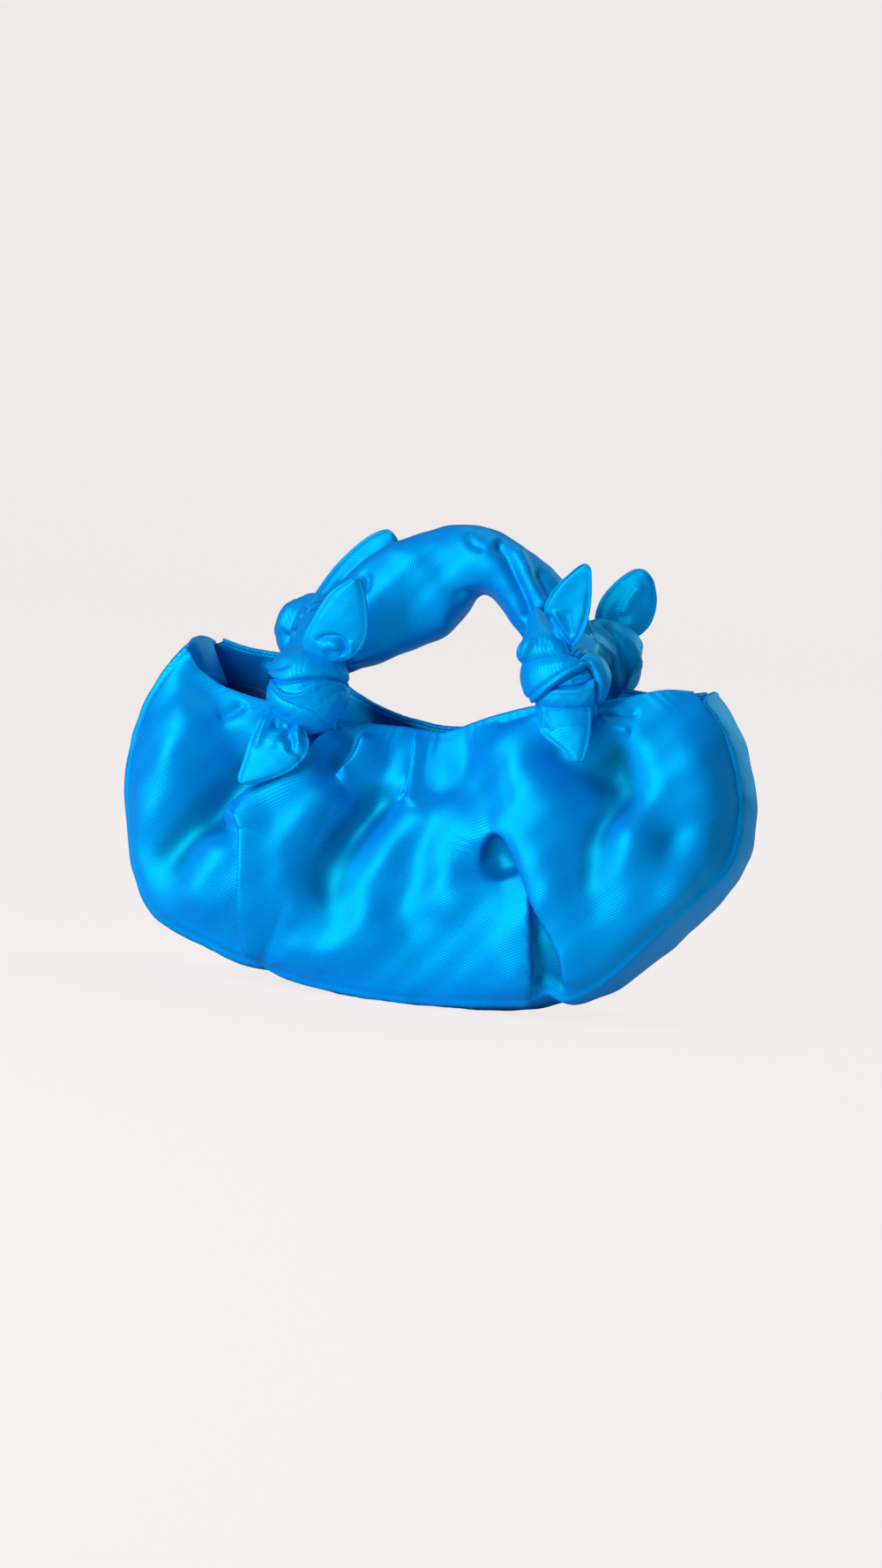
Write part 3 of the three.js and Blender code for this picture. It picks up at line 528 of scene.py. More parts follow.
frontFolds = [
    # left lobe: a full cheek at the outside, and a deep valley slanting down from under the knot
    fold([(-118, 152), (-124, 132), (-128, 112), (-133, 94), (-140, 78), (-146, 64)], 7, (16, 14)),
    fold([(-76, 126), (-85, 111), (-95, 98), (-106, 85), (-117, 73), (-126, 61), (-132, 50)],
         (-7, -13, -15, -14, -11, -8, -5), (9, 20), fade=(0.12, 0.2)),
    fold([(-101, 80), (-105, 64), (-106, 48), (-105, 30)], 4.5, (13, 12)),
    # the pleat between the left lobe and the middle, and the full cheek to its right
    fold([(-94, 90), (-88, 88), (-85, 78), (-83, 62), (-81, 45), (-79, 30), (-75, 18), (-69, 6)], 5.5,
         (9, 1.6), roll=4, fade=(0.12, 0.06)),
    fold([(-40, 140), (-49, 130), (-57, 121), (-63, 115), (-70, 107.5), (-80, 101), (-90, 95), (-96, 88),
         (-98, 80)], 6, (10, 1.6), roll=4, fade=(0.1, 0.15)),
    fold([(-34, 112), (-44, 101), (-53, 90), (-60, 80), (-63, 68), (-63, 54), (-58, 40), (-50, 28)], 8,
         (13, 17), fade=(0.15, 0.2)),
    # a dark hollow, then the tall flame of light
    fold([(-6, 118), (-15, 106), (-23, 96), (-29, 86), (-35, 75), (-39, 64), (-42, 52), (-45, 38)],
         (-5, -10, -12, -12, -10, -8, -6, -3), (6.5, 15), fade=(0.15, 0.2)),
    fold([(8, 110), (0, 96), (-7, 82), (-13, 68), (-17, 52), (-20, 36), (-22, 20)], 5.5, (10, 8),
         fade=(0.15, 0.2)),
    fold([(12, 96), (6, 82), (1, 68), (-2, 52), (-4, 38)], -2.2, (9, 9)),
    fold([(20, 118), (22, 98), (22, 78), (22, 60), (20, 42)], 5, (9, 12)),
    fold([(-62, 26), (-40, 23), (-14, 27)], 4.5, (9, 10)),
    fold([(-28, 139), (-30, 129), (-34, 120), (-42, 112)], 5, (7, 1.8), roll=2),
    fold([(-34, 136), (-39, 126), (-46, 116)], -6, (4, 5)),
    fold([(-40, 139), (-50, 127), (-57, 117), (-53, 107), (-43, 102), (-31, 104), (-25, 113), (-23, 126),
         (-23, 139)], 4, (6, 7)),
    fold([(-1.5, 143), (-1.5, 130), (-1.5, 118), (-3, 108), (-5, 102)], 1.9, (6, 0.9), roll=0.9,
         fade=(0.05, 0.2)),
    fold([(-12, 134), (-13, 124), (-11, 114)], -4, (5, 6)),
    fold([(-8, 108), (-5, 114), (-3.5, 120)], 1.2, (1.6, 1.6)),
    fold([(-7, 104), (-4, 111)], -1.2, (1.4, 1.4)),
    fold([(24, 146), (23, 132), (20, 116), (18, 104)], -2.6, (4, 4.5)),
    # the pleat between the middle and the right lobe
    fold([(36, 72), (37, 86), (41, 93.5), (47, 96), (53, 93), (58, 85), (63, 76), (68, 66), (75, 55),
         (82, 45), (87, 36), (90, 26), (92, 14)], 6, (12, 1.8), roll=3, fade=(0.12, 0.08)),
    fold([(40, 92), (47, 84), (55, 74), (62, 63), (67, 50)], -12, (6, 7), fade=(0.25, 0.3)),
    fold([(56, 82), (60.5, 72), (63, 60), (65, 45), (67, 30), (69, 16), (70, 4)], 5.5, (1.6, 16), roll=3,
         fade=(0.15, 0.04)),
    fold([(68, 60), (74, 45), (78, 30), (80, 14)], -6, (8, 7), fade=(0.2, 0.05)),
    # right lobe: a long slope away from the hood, a valley, and two cheeks
    fold([(40, 154), (48, 140), (56, 126), (65, 112), (73, 98), (78, 84), (81, 66), (82, 48)], 8, (17, 15),
         fade=(0.15, 0.2)),
    fold([(92, 154), (103, 142), (110, 131), (109, 120), (103, 108), (97, 96), (95, 82), (94, 66), (93, 50)],
         (-6, -11, -13, -12, -10, -9, -8, -6, -3), (8, 22), fade=(0.12, 0.2)),
    fold([(62, 144), (76, 135), (92, 129), (106, 128)], -7, (10, 10)),
    fold([(104, 118), (110, 100), (115, 86), (118, 70), (118, 54), (113, 38)], 6.5, (14, 9)),
    fold([(137, 112), (134, 102), (131, 92), (128, 78), (126, 64), (122, 50)], -4.5, (10, 12)),
    fold([(128, 158), (141, 142), (149, 126), (151, 110), (148, 96), (142, 82), (134, 66), (124, 52)], 7,
         (13, 14)),
    fold([(148, 72), (138, 58), (126, 46), (114, 36)], -2.6, (4, 4)),
    fold([(90, 163), (101, 162), (114, 164)], -1.4, (2, 3)),
    fold([(90, 159), (100, 155), (110, 153)], 1.4, (2.6, 2.6)),
    fold([(58, 158), (48, 152), (40, 150)], -1.5, (2.5, 2.5)),
    fold([(-92, 146), (-100, 140), (-108, 136)], -1.6, (3, 3.5)),
]


def wobble(x, z):
    # The slow unevenness of hanging cloth
    return (0.42 * np.sin(0.105 * x + 0.07 * z + 1.0) + 0.34 * np.sin(-0.062 * x + 0.13 * z + 2.2)
            + 0.22 * np.sin(0.21 * x + 0.17 * z + 4.1) + 0.14 * np.sin(0.33 * x - 0.27 * z + 0.6))


def sheetObject(name, points, uv, material, closed=False, wall=None, paintedShade=None):
    # points is a grid of places in millimetres, uv the flat cloth under it in metres, and the last argument how
    # deep in
    # a fold each place lies: painted shade that darkens the cloth's colour there
    columns, rows = points.shape[0] - 1, points.shape[1] - 1
    bm = bmesh.new()
    bmesh.ops.create_grid(bm, x_segments=columns, y_segments=rows, size=0.5)
    mesh = bpy.data.meshes.new(name)
    bm.to_mesh(mesh)
    flat = np.empty(len(mesh.vertices) * 3)
    mesh.vertices.foreach_get("co", flat)
    flat = flat.reshape(-1, 3)
    i = np.rint((flat[:, 0] + 0.5) * columns).astype(int)
    j = np.rint((flat[:, 1] + 0.5) * rows).astype(int)
    mesh.vertices.foreach_set("co", (points[i, j] * mm).ravel())
    layer = mesh.uv_layers.new(name="cloth")
    corners = np.empty(len(mesh.loops), int)
    mesh.loops.foreach_get("vertex_index", corners)
    layer.data.foreach_set("uv", uv[i, j][corners].ravel())
    if paintedShade is not None:
        mesh.attributes.new("paintedFoldShade", "FLOAT", "POINT").data.foreach_set("value", paintedShade[i, j].ravel())
    if closed:
        bm.clear()
        bm.from_mesh(mesh)
        bmesh.ops.remove_doubles(bm, verts=bm.verts, dist=1e-6)
        bmesh.ops.dissolve_degenerate(bm, edges=bm.edges, dist=1e-7)
        bmesh.ops.recalc_face_normals(bm, faces=bm.faces)
        bm.to_mesh(mesh)
    bm.free()
    mesh.polygons.foreach_set("use_smooth", [True] * len(mesh.polygons))
    mesh.update()
    mesh.materials.append(material)
    piece = bpy.data.objects.new(name, mesh)
    bpy.context.scene.collection.objects.link(piece)
    if wall:
        skin = piece.modifiers.new("clothWall", "SOLIDIFY")
        skin.thickness = wall * mm
        skin.offset = -1
    return piece


def dress(piece, body, slot, *nodes):
    if body:
        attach(piece, body)
    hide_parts(*nodes)


endForm = {"out": 8.5, "outX": 85, "outRunX": 55, "outZ": 45, "outRunZ": 60, "draw": 0.42, "drawX": 100,
           "drawZ": 60, "drawRun": 60}


def endWarp(points):
    # The right end stands out further than the left one, and its gusset is drawn together
    form = endForm
    x, z = points[..., 0], points[..., 2]
    share = smoothStep((x - form["outX"]) / form["outRunX"])
    share = share * smoothStep((z - form["outZ"]) / form["outRunZ"])
    drawn = form["draw"] * smoothStep((x - form["drawX"]) / form["drawRun"])
    points[..., 1] *= 1 - drawn * smoothStep((z - form["drawZ"]) / form["drawRun"])
    points[..., 0] = x + form["out"] * share
    return points


def mapPlace(points):
    # Where a place shows on the plane that the folds are drawn on
    away = foldSetup["plane"] - np.abs(points[..., 1])
    return points[..., 0] + foldSetup["slantX"] * away, points[..., 2] + foldSetup["slantZ"] * away


def panelLayers(face, folds, t, v):
    base, length = panelBase(face, t, v)
    base = endWarp(base)
    normal = gridNormals(base) * (1 if face < 0 else -1)
    x, z = mapPlace(base)
    height, dip, slideX, slideZ = foldField(x, z, folds, pouchForm["foldStrength"])
    # The snap's plate lies behind the cloth here and holds it out.
    wide, tall, middle = pouchForm["snapGuard"]
    guard = np.exp(-(base[..., 0] / wide) ** 4 - ((base[..., 2] - middle) / tall) ** 4)
    height = mix(height, np.maximum(height, pouchForm["snapHigh"]), guard)
    dip = mix(dip, np.maximum(dip, pouchForm["snapDip"]), guard)
    return base, length, normal, (height, dip, slideX, slideZ)


# Sewing at a panel's edges: small puckers and a ridge along the seam, and small puckers below the rim. A pucker
# is a wave along the edge whose pitch drifts, dying out with the distance from it.
sewing = {"seamShare": 0.2, "seamHold": 12, "rimHold": 6,
          "seamPucker": {"pitch": 0.21, "drift": 2.6, "driftPitch": 0.07, "reach": 8, "high": 0.2},
          "rimPucker": {"pitch": 0.33, "drift": 3.0, "driftPitch": 0.11, "reach": 10, "high": 0.12},
          "ridge": 0.45, "ridgeWide": 1.5, "groove": 0.35, "grooveAt": 3.2, "grooveWide": 1.6,
          "hemTurns": (30, 70, 110, 150, 180), "hemCloth": 0.0008}


def puckered(along, away, form):
    wave = np.sin(along * form["pitch"] + form["drift"] * np.sin(along * form["driftPitch"]))
    return wave * np.exp(-(away / form["reach"]) ** 2) * form["high"]


def panelPoints(face, folds, columns, rows):
    reach = pouchForm["panelReach"]
    t = np.linspace(-reach, reach, columns + 1)[:, None] * np.ones((1, rows + 1))
    v = np.ones((columns + 1, 1)) * np.linspace(0, 1, rows + 1)[None, :]
    base, length, normal, (height, dip, slideX, slideZ) = panelLayers(face, folds, t, v)
    up = v * length
    down = (1 - v) * length
    share = sewing["seamShare"]
    hold = (share + (1 - share) * smoothStep(up / sewing["seamHold"])) * smoothStep(down / sewing["rimHold"])
    along = t[:, :1] * pouchForm["halfSeam"]
    pucker = puckered(along, up, sewing["seamPucker"]) + puckered(along, down, sewing["rimPucker"])
    seamRidge = (sewing["ridge"] * np.exp(-(up / sewing["ridgeWide"]) ** 2)
                 - sewing["groove"] * np.exp(-((up - sewing["grooveAt"]) / sewing["grooveWide"]) ** 2))
    lift = height * hold + wobble(base[..., 0], base[..., 2]) * smoothStep(up / 10) + pucker + seamRidge
    points = base + normal * lift[..., None]
    points[..., 0] += slideX * hold
    points[..., 2] += slideZ * hold
    # Painted shade: where the relief lies below its blurred surroundings, the cloth's colour is darkened.
    wide = height * hold
    for turn in range(pouchForm["paintedShadeReach"]):
        wide = blurred(wide)
    paintedShade = smoothStep((wide - height * hold - 0.4) / pouchForm["paintedShadeDepth"])
    uv = np.stack([base[..., 0], base[..., 2]], -1) * mm
    # The hem turns over at the rim, towards the facing.
    radius = pouchForm["hemRadius"]
    top = points[:, -1]
    out = normal[:, -1]
    rise = np.array([0, 0, 1.0]) - out * out[:, 2:3]
    rise /= np.linalg.norm(rise, axis=1, keepdims=True)
    for turn in np.radians(sewing["hemTurns"]):
        ring = top + radius * (math.sin(turn) * rise - (1 - math.cos(turn)) * out)
        points = np.concatenate([points, ring[:, None]], 1)
        last = uv[:, -1] + [0, sewing["hemCloth"]]
        uv = np.concatenate([uv, last[:, None]], 1)
        paintedShade = np.concatenate([paintedShade, paintedShade[:, -1:]], 1)
    return points, uv, paintedShade


backFolds = [
    fold([(124, 160), (130, 136), (134, 112), (136, 90), (136, 70), (130, 52)], 4.5, (13, 12)),
    fold([(92, 134), (99, 112), (107, 94), (112, 76), (113, 58), (110, 38)], -7, (8, 9)),
    fold([(74, 150), (82, 126), (88, 104), (92, 84), (93, 62), (91, 40), (88, 22)], 7, (2.2, 12), roll=2.5,
         fade=(0.15, 0.12)),
    fold([(60, 148), (62, 126), (60, 104), (55, 82), (52, 58), (53, 36)], -6, (7, 8)),
    fold([(44, 148), (42, 128), (36, 108), (30, 88), (27, 66), (29, 44), (34, 24)], 6, (12, 9)),
    fold([(22, 142), (20, 124), (14, 108), (6, 94)], 3, (5, 1.4), roll=1.5),
    fold([(8, 142), (6, 122), (0, 102), (-6, 84), (-8, 64), (-5, 44), (2, 24)], -5, (8, 8)),
    fold([(-14, 142), (-16, 120), (-22, 98), (-28, 78), (-30, 56), (-26, 34), (-18, 16)], 6.5, (9, 12),
         fade=(0.18, 0.15)),
    fold([(-34, 146), (-38, 126), (-46, 108), (-52, 90), (-54, 70), (-52, 50)], -5.5, (6, 7)),
    fold([(-58, 150), (-58, 132), (-62, 114), (-69, 96), (-74, 76), (-76, 54), (-72, 32), (-66, 16)], 7.5,
         (12, 2.0), roll=3, fade=(0.14, 0.12)),
    fold([(-84, 150), (-84, 130), (-88, 112), (-94, 92), (-96, 70), (-94, 48)], -7, (7, 9)),
    fold([(-104, 162), (-106, 140), (-112, 118), (-118, 96), (-120, 74), (-116, 52), (-108, 34)], 5, (9, 9)),
    fold([(-128, 156), (-134, 134), (-138, 110), (-138, 88), (-134, 68)], 4, (8, 10)),
    fold([(-96, 168), (-99, 154), (-97, 140)], -2, (3, 3)),
    fold([(94, 170), (96, 154), (103, 140)], -2.4, (3, 4)),
    fold([(-46, 152), (-42, 141), (-44, 128)], 2, (3, 1.4)),
    fold([(56, 150), (50, 140), (50, 126)], 2.2, (1.4, 3.4)),
]
panelFolds = {-1: frontFolds, 1: backFolds}
panelNames = {-1: "front", 1: "back"}
outerEdges = {}
for face in (-1, 1):
    points, uv, paintedShade = panelPoints(face, panelFolds[face], pouchForm["columns"], pouchForm["rows"])
    if face > 0:
        points, uv, paintedShade = points[::-1], uv[::-1], paintedShade[::-1]
    outerEdges[face] = points[:, 0] if face < 0 else points[::-1, 0]
    panel = sheetObject(panelNames[face] + "Panel", points, uv, satin, wall=clothWall["satin"], paintedShade=paintedShade)
    dress(panel, "pouch", "duchesse_satin", panelNames[face] + "_panel")
print("front and back panels gathered")

# Facings, linings and pocket: they lie behind the panels and never come through their valleys.

layerForm = {"depth": 3.3, "facing": 26.0, "facingReach": 0.978, "liningReach": 0.93, "inset": 4.0,
             "pocketReach": 0.28, "pocketDrop": 40.0, "pocketHeight": 56.0, "pocketOff": 3.6}


def innerPoints(face, reach, columns, rows, start, end, depth):
    t = np.linspace(-reach, reach, columns + 1)[:, None] * np.ones((1, rows + 1))
    ends = panelBase(face, t, np.zeros_like(t))[1]
    share = np.linspace(0, 1, rows + 1)[None, :]
    v = mix(start(ends), end(ends), share)
    base, length, normal, (height, dip, slideX, slideZ) = panelLayers(face, panelFolds[face], t, v)
    down = (1 - v) * length
    sink = dip * 1.12 * smoothStep(down / 6) + np.minimum(wobble(base[..., 0], base[..., 2]), 0)
    points = base + normal * (sink - depth)[..., None]
    return points, np.stack([base[..., 0], base[..., 2]], -1) * mm


def facingFoot(length):
    return np.maximum(1 - layerForm["facing"] / length, layerForm["inset"] / length)


for face in (-1, 1):
    name = panelNames[face]
    depth = layerForm["depth"]
    points, uv = innerPoints(face, layerForm["facingReach"], 220, 14, facingFoot,
                             lambda length: 1 - 0.1 / length, depth)
    points[:, 0, 1] += face * 0.5
    if face < 0:
        points, uv = points[::-1], uv[::-1]
    facing = sheetObject(name + "Facing", points, uv, satin, wall=clothWall["satin"])
    dress(facing, "pouch", "duchesse_satin", name + "_facing")
    points, uv = innerPoints(face, layerForm["liningReach"], 200, 60,
                             lambda length: layerForm["inset"] / length,
                             lambda length: facingFoot(length) + 1.5 / length, depth + 0.5)
    points[..., 1] -= face * (0.5 * np.sin(uv[..., 0] * 310 + 2 * np.sin(uv[..., 1] * 60)) + 0.5)
    if face < 0:
        points, uv = points[::-1], uv[::-1]
    lining = sheetObject(name + "Lining", points, uv, liningTwill, wall=clothWall["lining"])
    dress(lining, "pouch", "lining_twill", name + "_lining")

form = layerForm
points, uv = innerPoints(1, form["pocketReach"], 90, 48,
                         lambda length: 1 - (form["pocketDrop"] + form["pocketHeight"]) / length,
                         lambda length: 1 - form["pocketDrop"] / length, form["depth"] + form["pocketOff"])
reachShare = np.linspace(-1, 1, 91)[:, None]
riseShare = np.linspace(0, 1, 49)[None, :]
slack = (1 - reachShare ** 4) * smoothStep(riseShare * 3) * (0.7 + 1.6 * riseShare ** 2)
points[..., 1] -= slack + 0.5 * np.exp(-((1 - riseShare) / 0.06) ** 2) - 0.9 * (1 - slack / 2.4)
pocket = sheetObject("innerPocket", points, uv, liningTwill, wall=clothWall["pocket"])
dress(pocket, "pouch", "lining_twill", "inner_pocket")
print("facings, linings and pocket set in")

# Gusset: a strip from seam to seam round both ends and under the base, slack between its seams

gussetForm = {"reach": 0.985, "columns": 360, "rows": 30, "slack": 4.2, "turnRadius": 2.2, "turnIn": 22.0,
              "liningInset": 3.6, "liningFloor": 3.2, "gather": 0.3, "pucker": 0.4, "seamReach": 0.14}


def gussetPoints(reach, columns, rows, inset, slack):
    t = np.linspace(-reach, reach, columns + 1)
    zero = np.zeros_like(t)
    front, back = (endWarp(panelBase(face, t, zero)[0]) for face in (-1, 1))
    w = np.linspace(0, 1, rows + 1)
    points = front[:, None] + (back - front)[:, None] * w[None, :, None]
    points[..., 1] = mix(front[:, None, 1] + inset * 0.7, back[:, None, 1] - inset * 0.7, w[None, :])
    along = np.gradient(points, axis=0)
    outward = np.stack([along[..., 2], np.zeros_like(along[..., 0]), -along[..., 0]], -1)
    outward /= np.linalg.norm(outward, axis=-1, keepdims=True)
    arch = np.sin(math.pi * w)[None, :] ** 0.8
    run = t[:, None] * pouchForm["halfSeam"]
    ripple = 0.25 * np.sin(run * 0.12 + 2 * np.sin(run * 0.05)) + 0.15 * np.sin(run * 0.31 + 6 * w[None, :])
    gather = gussetForm["gather"] * np.sin(run * 0.13 + 1.7 * np.sin(run * 0.043) + 1.2 * w[None, :])
    seamReach = gussetForm["seamReach"]
    atSeam = np.exp(-(w / seamReach) ** 2) + np.exp(-((1 - w) / seamReach) ** 2)
    held = (atSeam * np.sin(math.pi * w) ** 0.6)[None, :]
    pucker = gussetForm["pucker"] * np.sin(run * 0.52 + 1.6 * np.sin(run * 0.12)) * held
    ripple = (ripple + gather) * arch + pucker
    points += outward * (slack * arch + ripple * (slack > 0) - inset)[..., None]
    return points, w


def stripCloth(points):
    # The strip laid flat: its length along the middle row, its width as it is
    length = runLength(points[:, points.shape[1] // 2])
    return np.stack([length[:, None] * np.ones_like(points[..., 1]), points[..., 1]], -1) * mm


form = gussetForm
points, w = gussetPoints(form["reach"], form["columns"], form["rows"], 0.0, form["slack"])
points[..., 2] = np.maximum(points[..., 2], 0.0)
cup = smoothStep(w / 0.24) * smoothStep((1 - w) / 0.24)
for end in (0, -1):
    # Each end turns over at the rim and goes down inside the mouth, held at both seams and cupped between.
    side = -1 if end == 0 else 1
    edge = points[end]
    inward = np.stack([-side * (0.3 + 0.7 * cup), 0 * cup, 0 * cup], -1)
    radius = form["turnRadius"]
    rings = [edge + inward * radius * (1 - math.cos(turn)) + [0, 0, radius * math.sin(turn)]
             for turn in np.radians([40, 90, 140, 180])]
    rings += [edge + inward * 2 * radius + inward * [0.5 * drop, 0, 0] * cup[:, None] + [0, 0, -drop]
              for drop in np.linspace(3, form["turnIn"], 7)]
    extra = np.stack(rings)
    middle = (edge[0, 1] + edge[-1, 1]) / 2
    narrowed = (1 - 0.05 * smoothStep(np.arange(len(rings)) / 4))[:, None]
    extra[..., 1] = middle + (extra[..., 1] - middle) * narrowed
    points = np.concatenate([extra[::-1], points], 0) if end == 0 else np.concatenate([points, extra], 0)
uv = stripCloth(points)
gussetStrip = sheetObject("gussetStrip", points[::-1], uv[::-1], satin, wall=clothWall["satin"])
dress(gussetStrip, "pouch", "duchesse_satin", "gusset")
points, w = gussetPoints(layerForm["liningReach"], 240, 20, form["liningInset"], 0.0)
points[..., 2] = np.maximum(points[..., 2], form["liningFloor"])
gussetLining = sheetObject("gussetLining", points, stripCloth(points), liningTwill, wall=clothWall["lining"])
dress(gussetLining, "pouch", "lining_twill", "gusset_lining")
print("gusset and its lining sewn in")

# Magnetic snap: the CAD's own parts in nickel

for name in ("snap_socket", "snap_stud", "snap_socket_plate", "snap_stud_plate"):
    part = bpy.data.objects[name]
    part.data.materials.clear()
    part.data.materials.append(nickel)

# Handle: a padded satin tube, drawn in where it forks to its ties

handleForm = {"rings": 190, "sides": 96, "caps": 7, "clothAround": 125.0, "wall": 6.0, "lift": (0.170, 0.200),
              "squareness": 0.86, "faceBlend": 9, "gather": 1.5, "gatherReach": 26, "pleats": 11, "hem": 1.1,
              "hemTurn": 0.35, "hemWide": 0.045, "slack": 0.7,
              "stations": [
                  # top x, top z, lower x, lower z, half depth
                  (-74, 183, -63, 163, 9), (-71.5, 194, -54, 164, 15), (-64, 206, -46, 167.5, 19),
                  (-53, 218, -38.5, 170, 21), (-44, 227, -30, 174, 22), (-31, 235.5, -16, 181, 22),
                  (-11, 244.5, -1, 190, 21), (5, 247.5, 7, 202, 20), (20, 246, 14, 211, 19),
                  (32, 240.5, 19, 212, 18), (45, 232.5, 25, 207, 17.5), (56, 223.5, 33, 199, 17),
                  (66, 212, 41, 191, 16), (73, 200, 50, 181, 13), (75, 190, 58, 174, 9)]}
handleFolds = [
    fold([(-40, 196), (-33, 200.5), (-29, 204.5), (-23.5, 210.5), (-19, 218), (-14, 227), (-6, 235),
         (8, 240)], 4.2, (8, 4.5), fade=(0.12, 0.25)),
    fold([(-34, 191), (-29, 197), (-23, 204), (-16.5, 210.5), (-9, 217), (0, 223.5), (12, 227), (26, 226)],
         -6, (4.5, 8), fade=(0.15, 0.3)),
    fold([(-34, 180), (-24, 186), (-16.5, 191), (-9.5, 196.5), (0, 205), (8, 212)], 2.8, (6, 6)),
    fold([(-36.5, 221), (-36, 216), (-36.5, 209)], -3.6, (2.2, 2.6), fade=(0.35, 0.15)),
    fold([(-46, 213), (-40, 221.5), (-30, 230), (-18, 236)], 1.6, (2.4, 3.2)),
    fold([(-66, 178), (-54, 184), (-38, 190), (-22, 196)], -1.8, (5, 5)),
    fold([(30, 246), (37, 236), (43, 225), (49, 214), (53, 205)], -4.0, (2.2, 3.4), fade=(0.1, 0.1)),
    fold([(37, 247), (44, 236), (50, 226), (57, 216), (62, 208)], 3.0, (3, 7)),
    fold([(52, 232), (58, 222), (66, 212)], -2.0, (2.4, 3)),
    fold([(8, 212), (20, 216), (31, 214), (42, 206)], -1.6, (2, 3)),
    fold([(14, 247), (18, 241), (26, 238)], -1.4, (2.5, 2.5)),
    fold([(-58, 176), (-50, 178), (-42, 176)], -1.5, (2, 2)),
]
handleBackFolds = [
    fold([(62, 200), (48, 214), (30, 226), (10, 233), (-10, 234)], 2.4, (7, 7)),
    fold([(48, 200), (30, 212), (10, 220), (-10, 220), (-28, 212)], -3.6, (6, 6)),
    fold([(36, 204), (18, 210), (0, 206), (-18, 196), (-34, 184)], 2.4, (6, 5)),
    fold([(-40, 226), (-44, 214), (-48, 202)], -2.6, (2.5, 4)),
    fold([(-26, 234), (-30, 222), (-37, 210)], 2.0, (1.6, 4), roll=1),
    fold([(24, 244), (20, 234), (22, 224)], -1.8, (3, 3)),
]


def closedRings(rings, uvAcross, uvAlong):
    # rings[k, s] are whole turns; the first one is repeated last so that the cloth's seam closes
    rings = np.concatenate([rings, rings[:, :1]], 1)
    count, sides = rings.shape[:2]
    uv = np.stack([np.linspace(0, uvAcross, sides)[None, :] * np.ones((count, 1)),
                   np.array(uvAlong)[:, None] * np.ones((1, sides))], -1) * mm
    return rings.transpose(1, 0, 2), uv.transpose(1, 0, 2)


def ringNormals(rings):
    around = np.roll(rings, -1, 1) - np.roll(rings, 1, 1)
    along = np.gradient(rings, axis=0)
    normal = np.cross(along, around)
    normal /= np.linalg.norm(normal, axis=-1, keepdims=True) + 1e-9
    out = rings - rings.mean(1, keepdims=True)
    if (normal * out).sum() < 0:
        normal = -normal
    return normal


def capShares(count, caps):
    # Places along a tube, bunched at both ends, and how far each ring has closed
    turn = np.linspace(0, math.pi / 2, caps)
    close = np.concatenate([np.sin(turn[:-1]), np.ones(count), np.cos(turn[1:])])
    close[0] = close[-1] = 0.0
    return close


def makeHandle(name, shrink, folds, backFolds, material):
    form = handleForm
    line = smoothLine(form["stations"], form["rings"])
    close = capShares(form["rings"] - 2 * (form["caps"] - 1), form["caps"])
    middle = (line[:, 0:2] + line[:, 2:4]) / 2
    half = (line[:, 0:2] - line[:, 2:4]) / 2
    size = np.linalg.norm(half, axis=1, keepdims=True)
    half = half / size * np.maximum(size - shrink, 1)
    depth = np.maximum(line[:, 4] - shrink, 1)
    angle = np.linspace(0, 2 * math.pi, form["sides"], endpoint=False)
    up = np.cos(angle)
    side = np.sin(angle)
    side = np.sign(side) * np.abs(side) ** form["squareness"]
    rings = np.zeros((len(line), len(angle), 3))
    rings[..., 0] = middle[:, None, 0] + half[:, None, 0] * up * close[:, None]
    rings[..., 2] = middle[:, None, 1] + half[:, None, 1] * up * close[:, None]
    rings[..., 1] = depth[:, None] * side * close[:, None]
    normal = ringNormals(rings)
    spread = smoothStep(close * 1.2 - 0.2)
    along = runLength(middle)
    if folds:
        x, z = mapPlace(rings)
        front = foldField(x, z, folds)[0] * smoothStep(-rings[..., 1] / form["faceBlend"] + 0.25)
        back = foldField(x, z, backFolds)[0] * smoothStep(rings[..., 1] / form["faceBlend"] + 0.25)
        ends = np.minimum(along, along[-1] - along)
        pleats = np.sin(angle * form["pleats"] + 1.4 * np.sin(angle * 3))[None, :]
        gather = np.exp(-(ends / form["gatherReach"]) ** 2)[:, None] * form["gather"] * pleats
        fromHem = angle - math.pi + form["hemTurn"]
        hem = -form["hem"] * np.exp(-((fromHem / form["hemWide"]) ** 2))[None, :]
        lift = front + back + gather + hem + form["slack"] * wobble(x * 1.4, z * 1.4 + rings[..., 1])
        rings += normal * (lift * spread[:, None])[..., None]
    points, uv = closedRings(rings, form["clothAround"], along)
    return sheetObject(name, points, uv, material, closed=True)


handleSleeve = makeHandle("handleSleeve", 0.0, handleFolds, handleBackFolds, satin)
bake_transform(handleSleeve)
dress(handleSleeve, None, "duchesse_satin", "handle_sleeve")
handleWadding = makeHandle("handleWadding", handleForm["wall"], None, None, polyesterWadding)
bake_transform(handleWadding)
dress(handleWadding, None, "wadding", "handle_core")
print("handle padded and gathered")

# Knots: cloth wound in layers. Each layer is an outline on the knot with its height and how round its edge
# rolls; the later ones lie on top. Outlines are drawn as the main view sees the knot, and go round to its
# other side.

